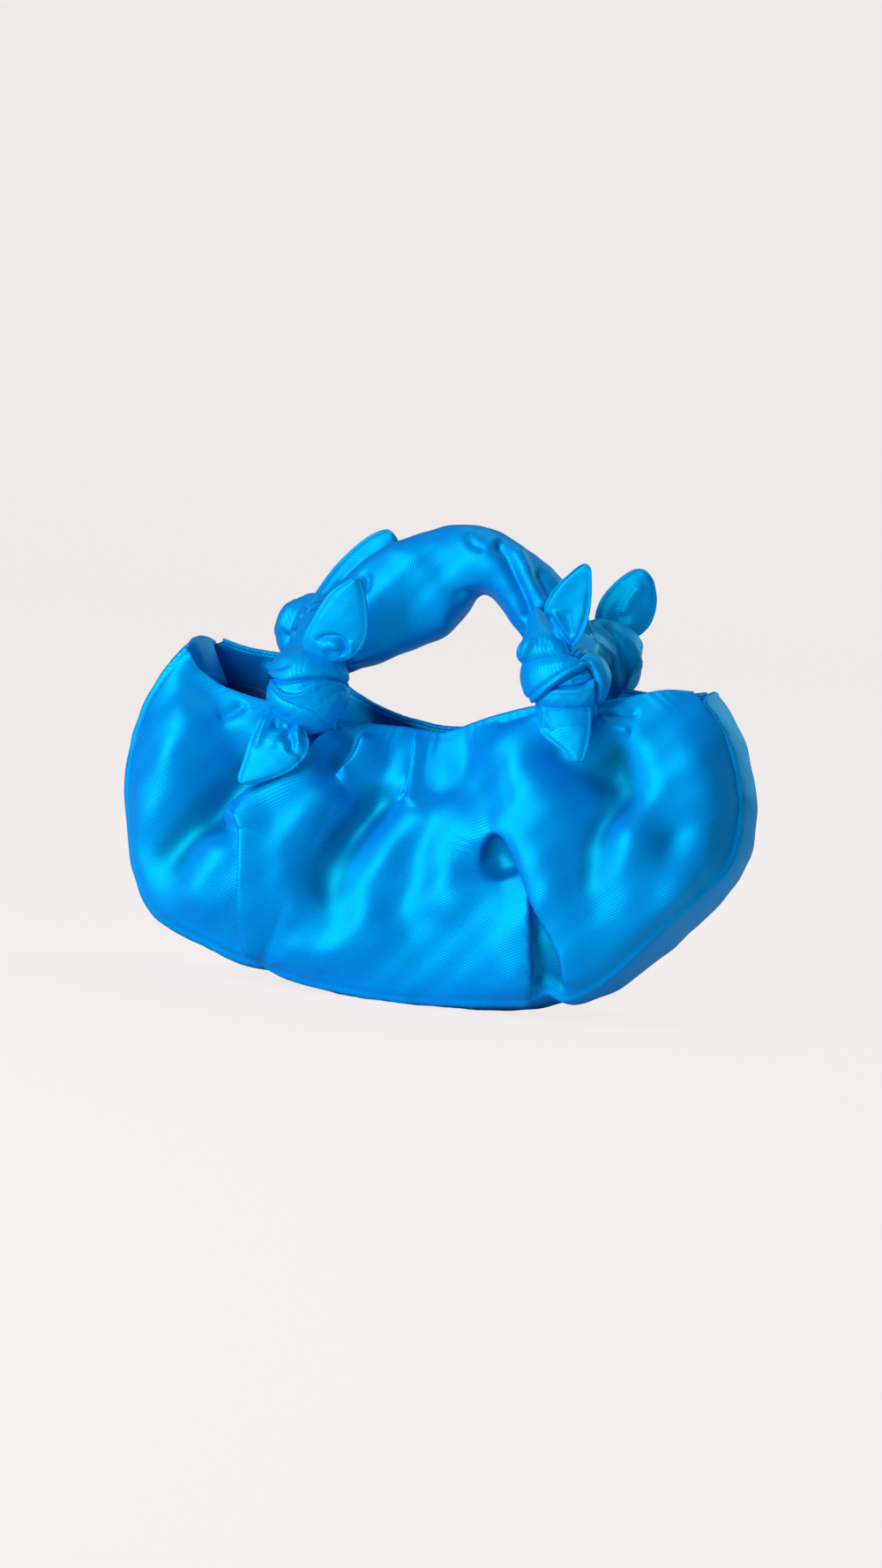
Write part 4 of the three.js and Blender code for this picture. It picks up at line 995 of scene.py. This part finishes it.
knotSetup = {"plane": 15, "coreInset": 2.5, "strapWide": 32, "strapThick": 9, "strapRuche": 0.5,
             "strapPitch": 6.0, "legWide": 29, "legThick": 20, "legRuche": 0.9, "legPitch": 4.6, "rings": 110,
             "sides": 72, "inner": 3.0}
forkPlaces = {"left": np.array([-65.0, 0.0, 186.0]), "right": np.array([65.0, 0.0, 187.0])}
knotForms = {
    "front_left": {
        "centre": (-64.6, -35, 153.8), "half": (18.4, 14.5, 18.4), "fork": "left", "fine": 7,
        "layers": [
            {"edge": [(-82, 171.5), (-85, 169), (-87, 164), (-87, 158), (-85, 152), (-81.5, 147),
                      (-79.5, 148), (-81, 151.5), (-82.5, 155.5), (-82.5, 161), (-81, 166.5), (-79.5, 170.5)],
             "high": 1.4},
            {"edge": [(-44.5, 166.5), (-41, 165), (-37, 160.5), (-36, 154), (-36.5, 148), (-38.5, 143),
                      (-42, 139), (-46, 141), (-43, 147.5), (-42, 153.5), (-42.5, 159)], "high": 1.2,
             "roll": 3},
            {"edge": [(-78.5, 160), (-81, 156), (-82, 150), (-80.5, 144), (-76, 139.5), (-67.5, 135),
                      (-59.5, 131.5), (-54.5, 131.5), (-49, 133.5), (-43.5, 137.5), (-40, 142), (-39.2, 148),
                      (-40.5, 153.5), (-42.5, 158.5), (-46.5, 162), (-58.5, 161), (-70, 159)], "high": 2.8,
             "roll": 4, "crown": 1.2},
            {"edge": [(-78.5, 159.5), (-76.5, 154.5), (-72.5, 151), (-68.5, 149.5), (-63, 148), (-57, 146.5),
                      (-50.5, 142.8), (-48.5, 143.5), (-45.2, 149), (-42, 154), (-42.5, 159), (-46.5, 162),
                      (-58.5, 161), (-70, 159)], "high": 4.4, "roll": 2.8, "crease": 0.6},
            {"edge": [(-78, 160), (-75.5, 156.5), (-71.5, 153.6), (-67.5, 153), (-63.5, 153.8),
                      (-59.5, 156.2), (-55.5, 158.5), (-52.5, 160), (-49.5, 161.3), (-46.5, 161.3),
                      (-44, 160.5), (-44, 163.5), (-53, 164), (-64.5, 162.5), (-73.5, 160.5)], "high": 3.0,
             "roll": 1.6, "crown": 0.9, "crease": -0.35},
            {"edge": [(-82, 165), (-81, 166.5), (-80, 169), (-81, 171.5), (-77, 173.6), (-71.5, 175.3),
                      (-65.5, 176.2), (-60, 176.4), (-54, 175.8), (-48.5, 174), (-45, 171.5), (-44, 166.5),
                      (-43.2, 160.6), (-47, 162.3), (-51.5, 163), (-56, 162.2), (-60.5, 161.5), (-65, 160.2),
                      (-70, 158.8), (-73.5, 158.7), (-76.5, 159.5), (-78.5, 160), (-80.5, 161), (-81.7, 163)],
             "high": 5.6, "roll": 2.4, "crown": 0.8, "crease": 1.2},
        ],
        "folds": [
            fold([(-67, 165.6), (-71, 164.4), (-75, 163.2), (-80, 161.6)], -1.5, (1.0, 2.2), fade=(0.4, 0.1)),
            fold([(-46, 161.8), (-49, 160.4), (-53, 158.6), (-57, 156)], -0.9, (1.2, 1.2)),
            fold([(-43.5, 157.6), (-47, 156.5), (-51, 153.5), (-55, 151)], -1.0, (1.6, 2)),
            fold([(-77, 147), (-72, 143.6), (-66, 142)], -0.8, (2, 2.4)),
        ],
    },
    "front_right": {
        "centre": (71.0, -35, 175.2), "half": (19.0, 14.0, 14.6), "fork": "right", "fine": 7,
        "layers": [
            {"edge": [(75.5, 187), (77.5, 192), (79.5, 197), (82.5, 201), (86, 202.5), (89.5, 201),
                      (93.5, 197), (97, 191), (98.5, 184.5), (98.5, 178), (96, 172), (94, 165), (90.5, 165),
                      (88.5, 173), (87, 179.5), (83.5, 184), (78, 186)], "high": 2.6, "roll": 3.2,
             "crown": 1.2},
            {"edge": [(78, 185.5), (81.5, 188), (85.5, 191), (89, 191.8), (92, 188), (94, 182.5),
                      (94.2, 177.5), (92.5, 172), (91, 165), (88.4, 165), (88, 173), (87, 178), (86, 180.5),
                      (83.5, 183), (80.5, 184.5)], "high": 3.6, "roll": 2.2, "crown": 0.8, "crease": 1.8},
            {"edge": [(81.5, 183), (85, 181.2), (87, 178.5), (84, 175.4), (79, 173), (73, 171), (68, 170.5),
                      (63.5, 170), (63.5, 172), (70.5, 177), (76, 180.5)], "high": 1.4, "roll": 2.0,
             "crown": 0.2, "crease": 0.0},
            {"edge": [(62, 170), (67, 171), (73.5, 171.6), (79.5, 173), (83.5, 175), (86.8, 178), (88, 173),
                      (88, 166.5), (87, 163), (81, 160.8), (74, 159), (67.5, 159), (63, 159.8), (59.8, 161.6),
                      (58.8, 165)], "high": 3.9, "roll": 2.4, "crown": 1.0, "crease": 1.0},
            {"edge": [(50, 183.5), (51.5, 185.6), (54.5, 187), (61, 188.2), (67.5, 188), (72.5, 187),
                      (78, 185.4), (82.6, 183.8), (81.8, 182), (76, 178.6), (70.5, 174.6), (66, 170.6),
                      (61.5, 166.8), (58.5, 163.2), (55.6, 160.6), (52.6, 166), (50.8, 173), (49.8, 178)],
             "high": 5.2, "roll": 2.0, "crown": 0.9, "crease": 1.2},
        ],
        "folds": [
            fold([(82.0, 183.1), (76, 179.5), (70.5, 175.6), (66, 171.7), (61.5, 167.9), (58.3, 164.2),
                 (55.8, 161.8)], 0.8, (0.7, 0.7), fade=(0.03, 0.03)),
            fold([(81, 184.2), (75.3, 180.8), (69.6, 177), (64.8, 173.2), (60.2, 169.4), (56.8, 165.4)], -0.7,
                 (0.6, 0.7), fade=(0.05, 0.05)),
            fold([(76, 175.2), (80, 176.4), (84.5, 177.6)], -1.0, (0.8, 1.0)),
            fold([(80.5, 179), (83, 180), (85, 180.4)], -0.8, (0.8, 0.8)),
            fold([(63, 168.2), (70, 169.2), (78, 170), (86, 172.4)], -0.7, (1.0, 1.4)),
            fold([(80, 189), (84, 194), (89, 196.5), (94, 192), (96, 186)], -0.8, (1.2, 1.4)),
        ],
    },
    "back_left": {
        "centre": (-79.5, 34, 181.5), "half": (18.5, 14.5, 18.5), "fork": "left", "fine": 6,
        "like": "front_right", "flip": -1,
        "inner": [
            fold([(10, 18), (3, 8), (-2, -4), (-4, -14)], -2.2, (1.6, 2.6)),
            fold([(2, 20), (-4, 10), (-8, -2), (-9, -12)], 1.6, (2.4, 3)),
            fold([(-5, 19), (-10, 9), (-13, -2), (-13, -10)], -2.0, (1.4, 2.4)),
            fold([(-12, 14), (-16, 5), (-18, -4)], 1.4, (2, 2.4)),
            fold([(-18, 2), (-10, -6), (0, -9), (12, -8)], -1.4, (1.2, 2)),
            fold([(-16, -8), (-6, -13), (6, -14)], 1.0, (1.6, 2)),
        ],
    },
    "back_right": {
        "centre": (75.0, 34, 181.5), "half": (18.5, 14.5, 18.5), "fork": "right", "fine": 6,
        "like": "front_left", "flip": -1,
        "inner": [
            fold([(-8, 20), (0, 17), (7, 11), (11, 3), (12, -7), (8, -16)], -2.4, (1.6, 2.6)),
            fold([(-2, 21), (7, 18), (13, 12), (17, 4), (18, -5)], 1.6, (2, 3)),
            fold([(-12, 12), (-3, 12), (4, 6), (6, -3), (3, -12)], 1.8, (2.4, 2.4)),
            fold([(-12, 4), (-5, 4), (-2, -4), (-4, -12)], -2.0, (1.6, 2)),
            fold([(12, -14), (16, -6), (20, 0)], -1.2, (1.4, 1.8)),
        ],
    },
}


def insideBy(x, z, edge):
    # How far inside a closed outline each place lies; outside it the number is negative
    line = smoothLine([edge[-1], *edge, edge[0], edge[1]], 6 * (len(edge) + 2) + 1)[6:-6]
    gap = np.full(len(x), -50.0)
    near = ((x > line[:, 0].min() - 6) & (x < line[:, 0].max() + 6)
            & (z > line[:, 1].min() - 6) & (z < line[:, 1].max() + 6))
    start, run = line[:-1], np.diff(line, axis=0)
    ax = x[near][:, None] - start[:, 0]
    az = z[near][:, None] - start[:, 1]
    share = np.clip((ax * run[:, 0] + az * run[:, 1]) / ((run ** 2).sum(1) + 1e-9), 0, 1)
    far = np.hypot(ax - share * run[:, 0], az - share * run[:, 1]).min(1)
    above = az < 0
    crossing = run[:, 0] * az / np.where(run[:, 1] == 0, 1e-9, run[:, 1])
    crossed = (above != (az - run[:, 1] < 0)) & (ax < crossing)
    gap[near] = np.where(crossed.sum(1) % 2 == 1, far, -far)
    return gap


def layerHeight(x, z, layers):
    height = np.zeros(len(x))
    for layer in layers:
        gap = insideBy(x, z, layer["edge"])
        share = np.clip(gap / layer.get("roll", 2.4), 0, 1)
        rise = np.sqrt(1 - (1 - share) ** 2)
        top = layer["high"] + layer.get("crown", 0.8) * smoothStep(gap / 9)
        groove = 1.5 * layer.get("crease", 0.8) * np.exp(-(gap / 1.2) ** 2)
        height = np.where(gap > 0, mix(height, top, rise), height - groove)
    return height


def knotCentre(form):
    # The knot's middle as its outlines are drawn
    away = knotSetup["plane"]
    return form["centre"][0] + foldSetup["slantX"] * away, form["centre"][2] + foldSetup["slantZ"] * away


def moved(points, start, end, flip):
    return [(end[0] + flip * (x - start[0]), z - start[1] + end[1]) for x, z in points]


def knotDrawing(form):
    if "like" not in form:
        return form["layers"], form["folds"], form["folds"]
    source = knotForms[form["like"]]
    start, end = knotCentre(source), knotCentre(form)
    layers = [{**layer, "edge": moved(layer["edge"], start, end, form["flip"])} for layer in source["layers"]]
    folds = [{**ridge, "line": moved(ridge["line"], start, end, form["flip"])} for ridge in source["folds"]]
    inner = [{**ridge, "line": moved(ridge["line"], (0, 0), end, 1)} for ridge in form["inner"]]
    return layers, folds, inner


def woundBall(form, faceSign):
    # The knot's outer skin: a ball whose surface rises in layers of cloth
    bm = bmesh.new()
    bmesh.ops.create_icosphere(bm, subdivisions=form["fine"], radius=1.0)
    centre, half = np.array(form["centre"], float), np.array(form["half"], float)
    unit = np.array([v.co for v in bm.verts])
    place = centre + unit * half
    normal = unit / half
    normal /= np.linalg.norm(normal, axis=1, keepdims=True)
    depth = np.abs(unit[:, 1]) * half[1]
    x = place[:, 0] + foldSetup["slantX"] * (knotSetup["plane"] - depth)
    z = place[:, 2] + foldSetup["slantZ"] * (knotSetup["plane"] - depth)
    layers, folds, inner = knotDrawing(form)
    outer = smoothStep(0.5 + unit[:, 1] * faceSign * 2.2)
    layered = layerHeight(x, z, layers)
    lift = layered + foldField(x, z, folds)[0]
    if inner is not folds:
        lift = mix(knotSetup["inner"] + foldField(x, z, inner)[0], lift, outer)
    lift += 0.3 * wobble(x * 3.1 + place[:, 1], z * 2.9 - place[:, 1] * 2)
    place += normal * lift[:, None]
    for vertex, spot in zip(bm.verts, place):
        vertex.co = spot * mm
    bmesh.ops.smooth_vert(bm, verts=bm.verts, factor=0.5, use_axis_x=True, use_axis_y=True, use_axis_z=True)
    return bm


leafForm = {"sides": 96, "rings": 110, "cloth": 60.0, "tailHalf": 1.5, "rootShare": 0.02, "tipShare": 0.025,
            "seamAt": 1.7, "seamWide": 0.6, "seamDeep": 0.3, "thinnest": 0.3}


def makeLeaf(name, left, right, outward, half, sheet, material):
    # A padded leaf between two edges in space; half is its half thickness and sheet lifts its middle surface
    form = leafForm
    rings, sides = len(left), form["sides"]
    share = np.linspace(0, 1, rings)
    angle = np.linspace(0, 2 * math.pi, sides, endpoint=False)
    u = np.cos(angle)
    u = np.sign(u) * np.abs(u) ** 0.75
    middle, reach = (left + right) / 2, (right - left) / 2
    width = np.linalg.norm(reach, axis=1)
    close = np.clip(np.minimum(share / form["rootShare"], (1 - share) / form["tipShare"]), 0, 1) ** 0.5
    points = middle[:, None] + reach[:, None] * (u * close[:, None])[..., None]
    normal = np.cross(np.gradient(middle, axis=0), reach)
    normal /= np.linalg.norm(normal, axis=1, keepdims=True)
    normal *= np.sign(normal @ outward)[:, None]
    edge = (1 - np.abs(u)) * width[:, None]
    stitched = np.exp(-((edge - form["seamAt"]) / form["seamWide"]) ** 2)
    thick = half * (0.55 + 0.45 * smoothStep(edge / 5)) - form["seamDeep"] * stitched
    thick = np.maximum(thick, form["thinnest"]) * np.abs(np.sin(angle)) ** 0.3
    thick = thick * np.sign(np.sin(angle)) * close[:, None]
    lift = thick + sheet(points, u, share) * close[:, None]
    points += normal[:, None] * lift[..., None]
    grid, uv = closedRings(points, form["cloth"], runLength(middle))
    return sheetObject(name, grid, uv, material, closed=True)


def ruchedTube(path, wide, thick, up, ruche, pitch):
    # A gathered tube of cloth along a path, its folds running along it with a slow twist
    rings, sides = knotSetup["rings"], knotSetup["sides"]
    line = smoothLine(path, rings)
    tangent = np.gradient(line, axis=0)
    run = np.linalg.norm(tangent, axis=1, keepdims=True)
    tangent /= run
    up = up - tangent * (tangent @ up)[:, None]
    up /= np.linalg.norm(up, axis=1, keepdims=True)
    across = np.cross(tangent, up)
    angle = np.linspace(0, 2 * math.pi, sides, endpoint=False)
    along = np.cumsum(run)[:, None]
    phase = along * 2 * math.pi / pitch
    ripple = np.sin(angle * 8 + 0.9 * np.sin(angle * 2 + 0.7)[None, :] + phase * 0.14
                    + 0.8 * np.sin(phase * 0.17))
    ripple = ripple * (0.65 + 0.35 * np.sin(angle * 3 + phase * 0.11)) * ruche
    close = capShares(rings - 10, 6)[:, None]
    wideHalf, thickHalf = wide / 2 + ripple, thick / 2 + ripple
    rings = (line[:, None] + across[:, None] * (wideHalf * np.cos(angle) * close)[..., None]
             + up[:, None] * (thickHalf * np.sin(angle) * close)[..., None])
    points, uv = closedRings(rings, wide * 2.4, along[:, 0])
    return sheetObject("ruchedTube", points, uv, woundSatinPaintedLight, closed=True)


collarForm = {
    # left x, y, z and right x, y, z, from under the handle's end down to where it goes into the knot
    "edges": [(45, -10, 199, 54, -10, 201), (44.6, -18, 204.4, 52.6, -18, 206),
              (45.3, -26, 205.2, 54.6, -26, 205.8), (46.7, -34, 201.4, 60.4, -34, 201.6),
              (47.6, -40, 197, 66, -40, 197.2), (47.4, -44.5, 192.8, 70.6, -44, 192.8),
              (45.6, -46.5, 188.6, 73, -46, 189), (45.4, -44.5, 184.6, 74, -43, 185.6),
              (48, -40, 180.6, 72, -38, 182)],
    "half": 2.8, "rings": 90,
    "folds": [fold([(47, 185), (51, 190), (53, 196)], 0.9, (2, 3)),
              fold([(49, 183), (56, 190), (66, 191)], -0.9, (2, 2)),
              fold([(56, 207), (62, 200), (70, 192)], -0.8, (2.4, 2))],
}


def makeCollar(form):
    line = smoothLine(form["edges"], form["rings"])
    left, right = line[:, :3], line[:, 3:]

    def sheet(points, u, share):
        x, z = mapPlace(points)
        crown = 1.6 * (1 - u ** 2)
        return foldField(x, z, form["folds"])[0] + crown + 0.3 * wobble(x * 2, z * 2)

    return makeLeaf("collar", left, right, np.array([0.0, -1.0, 0.35]), form["half"], sheet, woundSatinPaintedLight)


def joined(name, bm, *extras):
    # One piece from a ball and its tubes; the tubes' own objects go
    for extra in extras:
        bm.from_mesh(extra.data)
        bpy.data.objects.remove(extra)
    bmesh.ops.recalc_face_normals(bm, faces=bm.faces)
    piece = meshObject(name, bm)
    piece.data.materials.append(woundSatinPaintedLight)
    return piece


for name, form in knotForms.items():
    faceSign = -1 if name.startswith("front") else 1
    side, end = name.split("_")
    centre, half = np.array(form["centre"], float), np.array(form["half"], float)
    # The pouch's strap rises from the rim and makes the core of the knot.
    bm = bmesh.new()
    core = Matrix.Translation(Vector(centre) * mm) @ Matrix.Diagonal(
        Vector((*(half - knotSetup["coreInset"]), 1000)) * mm)
    bmesh.ops.create_icosphere(bm, subdivisions=4, radius=1.0, matrix=core)
    rimPlace = np.array([centre[0], faceSign * (float(rimHalfGap(centre[0])) - 2.0),
                         float(rimAt(faceSign, centre[0])) - 9.0])
    outward = np.array([0, faceSign, 0.0])
    strap = ruchedTube([rimPlace, mix(rimPlace, centre, 0.45) + outward, centre], knotSetup["strapWide"],
                       knotSetup["strapThick"], outward, knotSetup["strapRuche"], knotSetup["strapPitch"])
    dress(joined(side + end.capitalize() + "PouchTie", bm, strap), "pouch", "duchesse_satin",
          "pouch_tie_" + name)
    # The handle's leg comes down from the fork and is wound round the core.
    fork = forkPlaces[form["fork"]]
    reach = fork - centre
    up = np.cross([1.0, 0.0, 0.0], reach)
    leg = ruchedTube([centre + reach * 0.2, centre + reach * 0.5 + [0, 0, 3.0],
                      centre + reach * 0.78 + [0, 0, 4.0], fork + [0, 0, 3.0]], knotSetup["legWide"],
                     knotSetup["legThick"], up / np.linalg.norm(up), knotSetup["legRuche"],
                     knotSetup["legPitch"])
    extras = [leg, makeCollar(collarForm)] if name == "front_right" else [leg]
    wound = joined(side + end.capitalize() + "HandleTie", woundBall(form, faceSign), *extras)
    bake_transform(wound)
    dress(wound, None, "duchesse_satin", "handle_tie_" + name)
print("four knots tied")

# Tails: each tie ends in a flat leaf, seamed round its edge and gathered at its root. Edges run from root to
# tip: left x, z, right x, z. The front ones are drawn as the main view sees them, and depth gives their y.

tailForms = {
    "upper_front_left": {
        "face": -1, "drawn": True, "depth": (-42, -47, -50, -52, -53, -54), "curl": 1.6,
        "edges": [(-60, 172.5, -46, 172), (-65, 177, -39.5, 175), (-65.5, 183, -34.8, 180),
                  (-63, 189.5, -32.6, 187.5), (-60, 196.5, -32.8, 194.5), (-56.8, 202.5, -33.8, 201),
                  (-54, 207, -35.2, 206.5), (-49.5, 210.6, -36.4, 210.8), (-45.5, 213.4, -38, 213.8),
                  (-43, 215, -39.8, 215)],
        "folds": [
            fold([(-59, 181.5), (-56, 184), (-51.5, 185.2), (-47.5, 185.5), (-44.5, 183.7), (-42.8, 181.2),
                 (-43.5, 178), (-46, 176)], -2.6, (0.9, 2.2), fade=(0.2, 0.1)),
            fold([(-57, 177), (-52, 181), (-48, 181), (-46.5, 178)], 1.8, (2.6, 3)),
            fold([(-40.5, 184), (-39.5, 179), (-41, 173)], 1.3, (2, 1.8)),
            fold([(-62, 180), (-58, 192), (-52, 203)], 0.9, (4, 4))]},
    "lower_front_left": {
        "face": -1, "drawn": True, "depth": (-42, -48, -52, -53.5, -54.5, -55), "curl": 1.2,
        "edges": [(-77.5, 143, -65, 139.5), (-81.5, 141.5, -59, 134), (-85, 138, -57, 130),
                  (-87, 133, -56.8, 126), (-88.5, 127.5, -58, 122), (-89.8, 122, -61, 118),
                  (-91, 116, -65.5, 113.5), (-92.2, 111, -73.5, 109), (-92.8, 107, -82, 105.4),
                  (-91.8, 104.4, -88.5, 103.8)],
        "folds": [
            fold([(-78, 137.4), (-74, 135.8), (-69.5, 137.2)], -3.4, (1.8, 2.4), fade=(0.3, 0.2)),
            fold([(-67.3, 138), (-68, 132.5), (-69.8, 126)], -2.8, (1.3, 2.0), fade=(0.05, 0.4)),
            fold([(-66.6, 132), (-66, 127.5), (-65.4, 122.5)], -1.8, (1.4, 1.5)),
            fold([(-70.8, 130), (-69.4, 124), (-65, 120.8), (-60, 120.5)], 1.4, (1.7, 2)),
            fold([(-64.4, 137), (-63, 130), (-61, 124.5)], 1.7, (1.6, 1.7), fade=(0.05, 0.3)),
            fold([(-72, 137), (-73.5, 131), (-77, 123)], 1.0, (1.8, 2.2)),
            fold([(-80.5, 141), (-82.8, 132), (-85, 122)], 1.3, (2.4, 2.4))]},
    "upper_front_right": {
        "face": -1, "drawn": True, "depth": (-43, -46, -48, -50, -52, -53.5), "curl": -1.4,
        "edges": [(65.5, 194, 73, 188), (63, 201, 76, 193.5), (60, 206, 79, 198), (58.5, 211.5, 81, 204),
                  (60.2, 216.8, 82, 211), (63, 222, 82, 218), (66, 226, 81.6, 224), (69.8, 230, 81, 229),
                  (73.2, 233.4, 80.2, 232.8), (75.4, 235, 78.6, 234.8)],
        "folds": [
            fold([(59.5, 209), (64.5, 203.5), (70, 198), (73.5, 191)], -2.6, (1.8, 2.4), fade=(0.2, 0.05)),
            fold([(63, 211), (68, 204), (72.4, 196)], 1.7, (1.5, 1.8)),
            fold([(69.5, 212), (72, 205), (74.5, 197)], -1.4, (2, 2.4)),
            fold([(79.8, 222), (80, 212), (78.8, 204.5), (76.8, 198.5), (74, 193.5)], -1.0, (0.8, 0.9),
                 fade=(0.1, 0.05))]},
    "lower_front_right": {
        "face": -1, "drawn": True, "depth": (-40, -47, -51, -53, -54, -54.5), "curl": 1.0,
        "edges": [(64, 166, 84, 167), (61.2, 161, 87, 163.5), (61, 155.5, 87.8, 158.5),
                  (61.4, 150.5, 88, 153.5), (63.5, 146.5, 88.2, 148.5), (68.5, 143, 87.8, 143.8),
                  (74, 139.5, 87.2, 139.8), (78.5, 136.2, 86.6, 136.6), (81.2, 134.8, 85, 134.8)],
        "folds": [
            fold([(62.5, 161), (65.5, 154), (70, 148.5)], -1.0, (2, 3)),
            fold([(62.8, 148.8), (68.6, 144.9), (74.2, 141.5), (79.5, 138)], -0.55, (0.5, 0.6)),
            fold([(74, 163), (76, 154), (78, 146)], 0.8, (5, 6))]},
    "upper_back_left": {
        "face": 1, "depth": (42, 46, 49, 51, 52.5, 53.5), "curl": -1.6, "pleats": 2,
        "edges": [(-86, 194, -71, 194), (-85, 202, -61, 198.5), (-81, 210.5, -54.5, 204.5),
                  (-76.5, 218, -49, 211), (-71, 225, -45.5, 217), (-65.5, 231, -43.5, 223),
                  (-60, 235.8, -43, 228), (-54.6, 239, -43.6, 232.5), (-50, 240.4, -45.6, 237)],
        "folds": [fold([(-70, 207), (-63, 216), (-55, 223)], -1.8, (2, 3))]},
    "lower_back_left": {
        "face": 1, "depth": (42, 47, 50, 51.5, 52.5, 53.5), "curl": 1.2, "pleats": 4,
        "edges": [(-88, 170, -74, 170), (-94, 164, -70, 165), (-98, 156, -69.5, 157), (-99.5, 148, -72, 148),
                  (-98.5, 140, -77.5, 140), (-95.5, 133.5, -84, 133.5), (-92.4, 129.6, -88, 129.6)],
        "folds": []},
    "upper_back_right": {
        "face": 1, "depth": (42, 46, 49, 51, 52.5, 53.5), "curl": -1.6, "pleats": 2,
        "edges": [(70, 194, 84, 193), (67, 201, 91, 198.5), (66.5, 208.5, 95.5, 204),
                  (68.5, 216, 97.5, 210.5), (73, 223, 97.8, 217), (78.5, 229, 96.4, 223.4),
                  (83.6, 232.6, 94.4, 228.4), (87, 233.6, 91.6, 231.8)],
        "folds": [fold([(80, 206), (84, 216), (90, 226)], -1.6, (2.4, 3))]},
    "lower_back_right": {
        "face": 1, "depth": (42, 47, 50, 51.5, 52.5, 53.5), "curl": 1.2, "pleats": 4,
        "edges": [(72, 171, 86, 171), (68, 166, 92, 165), (67.5, 158, 96.5, 157), (70, 149, 98, 149),
                  (75.5, 141, 97, 141), (82, 134.5, 94.5, 134.5), (86.8, 130.4, 91.2, 130.4)],
        "folds": []},
}


def makeTail(name, form):
    rings = leafForm["rings"]
    line = smoothLine(form["edges"], rings)
    share = np.linspace(0, 1, rings)
    depth = np.interp(share, np.linspace(0, 1, len(form["depth"])), form["depth"])
    away = (foldSetup["plane"] - np.abs(depth)) if form.get("drawn") else 0 * depth
    left, right = (np.stack([line[:, k] - foldSetup["slantX"] * away, depth,
                             line[:, k + 1] - foldSetup["slantZ"] * away], -1) for k in (0, 2))

    def sheet(points, u, share):
        x, z = mapPlace(points) if form.get("drawn") else (points[..., 0], points[..., 2])
        root = (1 - smoothStep(share / 0.6))[:, None]
        pleat = 1.3 * np.cos(u * math.pi * form.get("pleats", 0) + 0.6) * root if form.get("pleats") else 0
        curl = -form["curl"] * u ** 2 * smoothStep(share / 0.3)[:, None]
        return foldField(x, z, form["folds"])[0] + pleat + curl + 0.25 * wobble(x * 2, z * 2)

    outward = np.array([0.0, form["face"], 0.0])
    return makeLeaf(name, left, right, outward, leafForm["tailHalf"], sheet, tieSatinPaintedLight)


for name, form in tailForms.items():
    tail = makeTail("tail" + "".join(word.capitalize() for word in name.split("_")), form)
    dress(tail, name, "duchesse_satin", "tail_" + name)
print("eight tails hung")
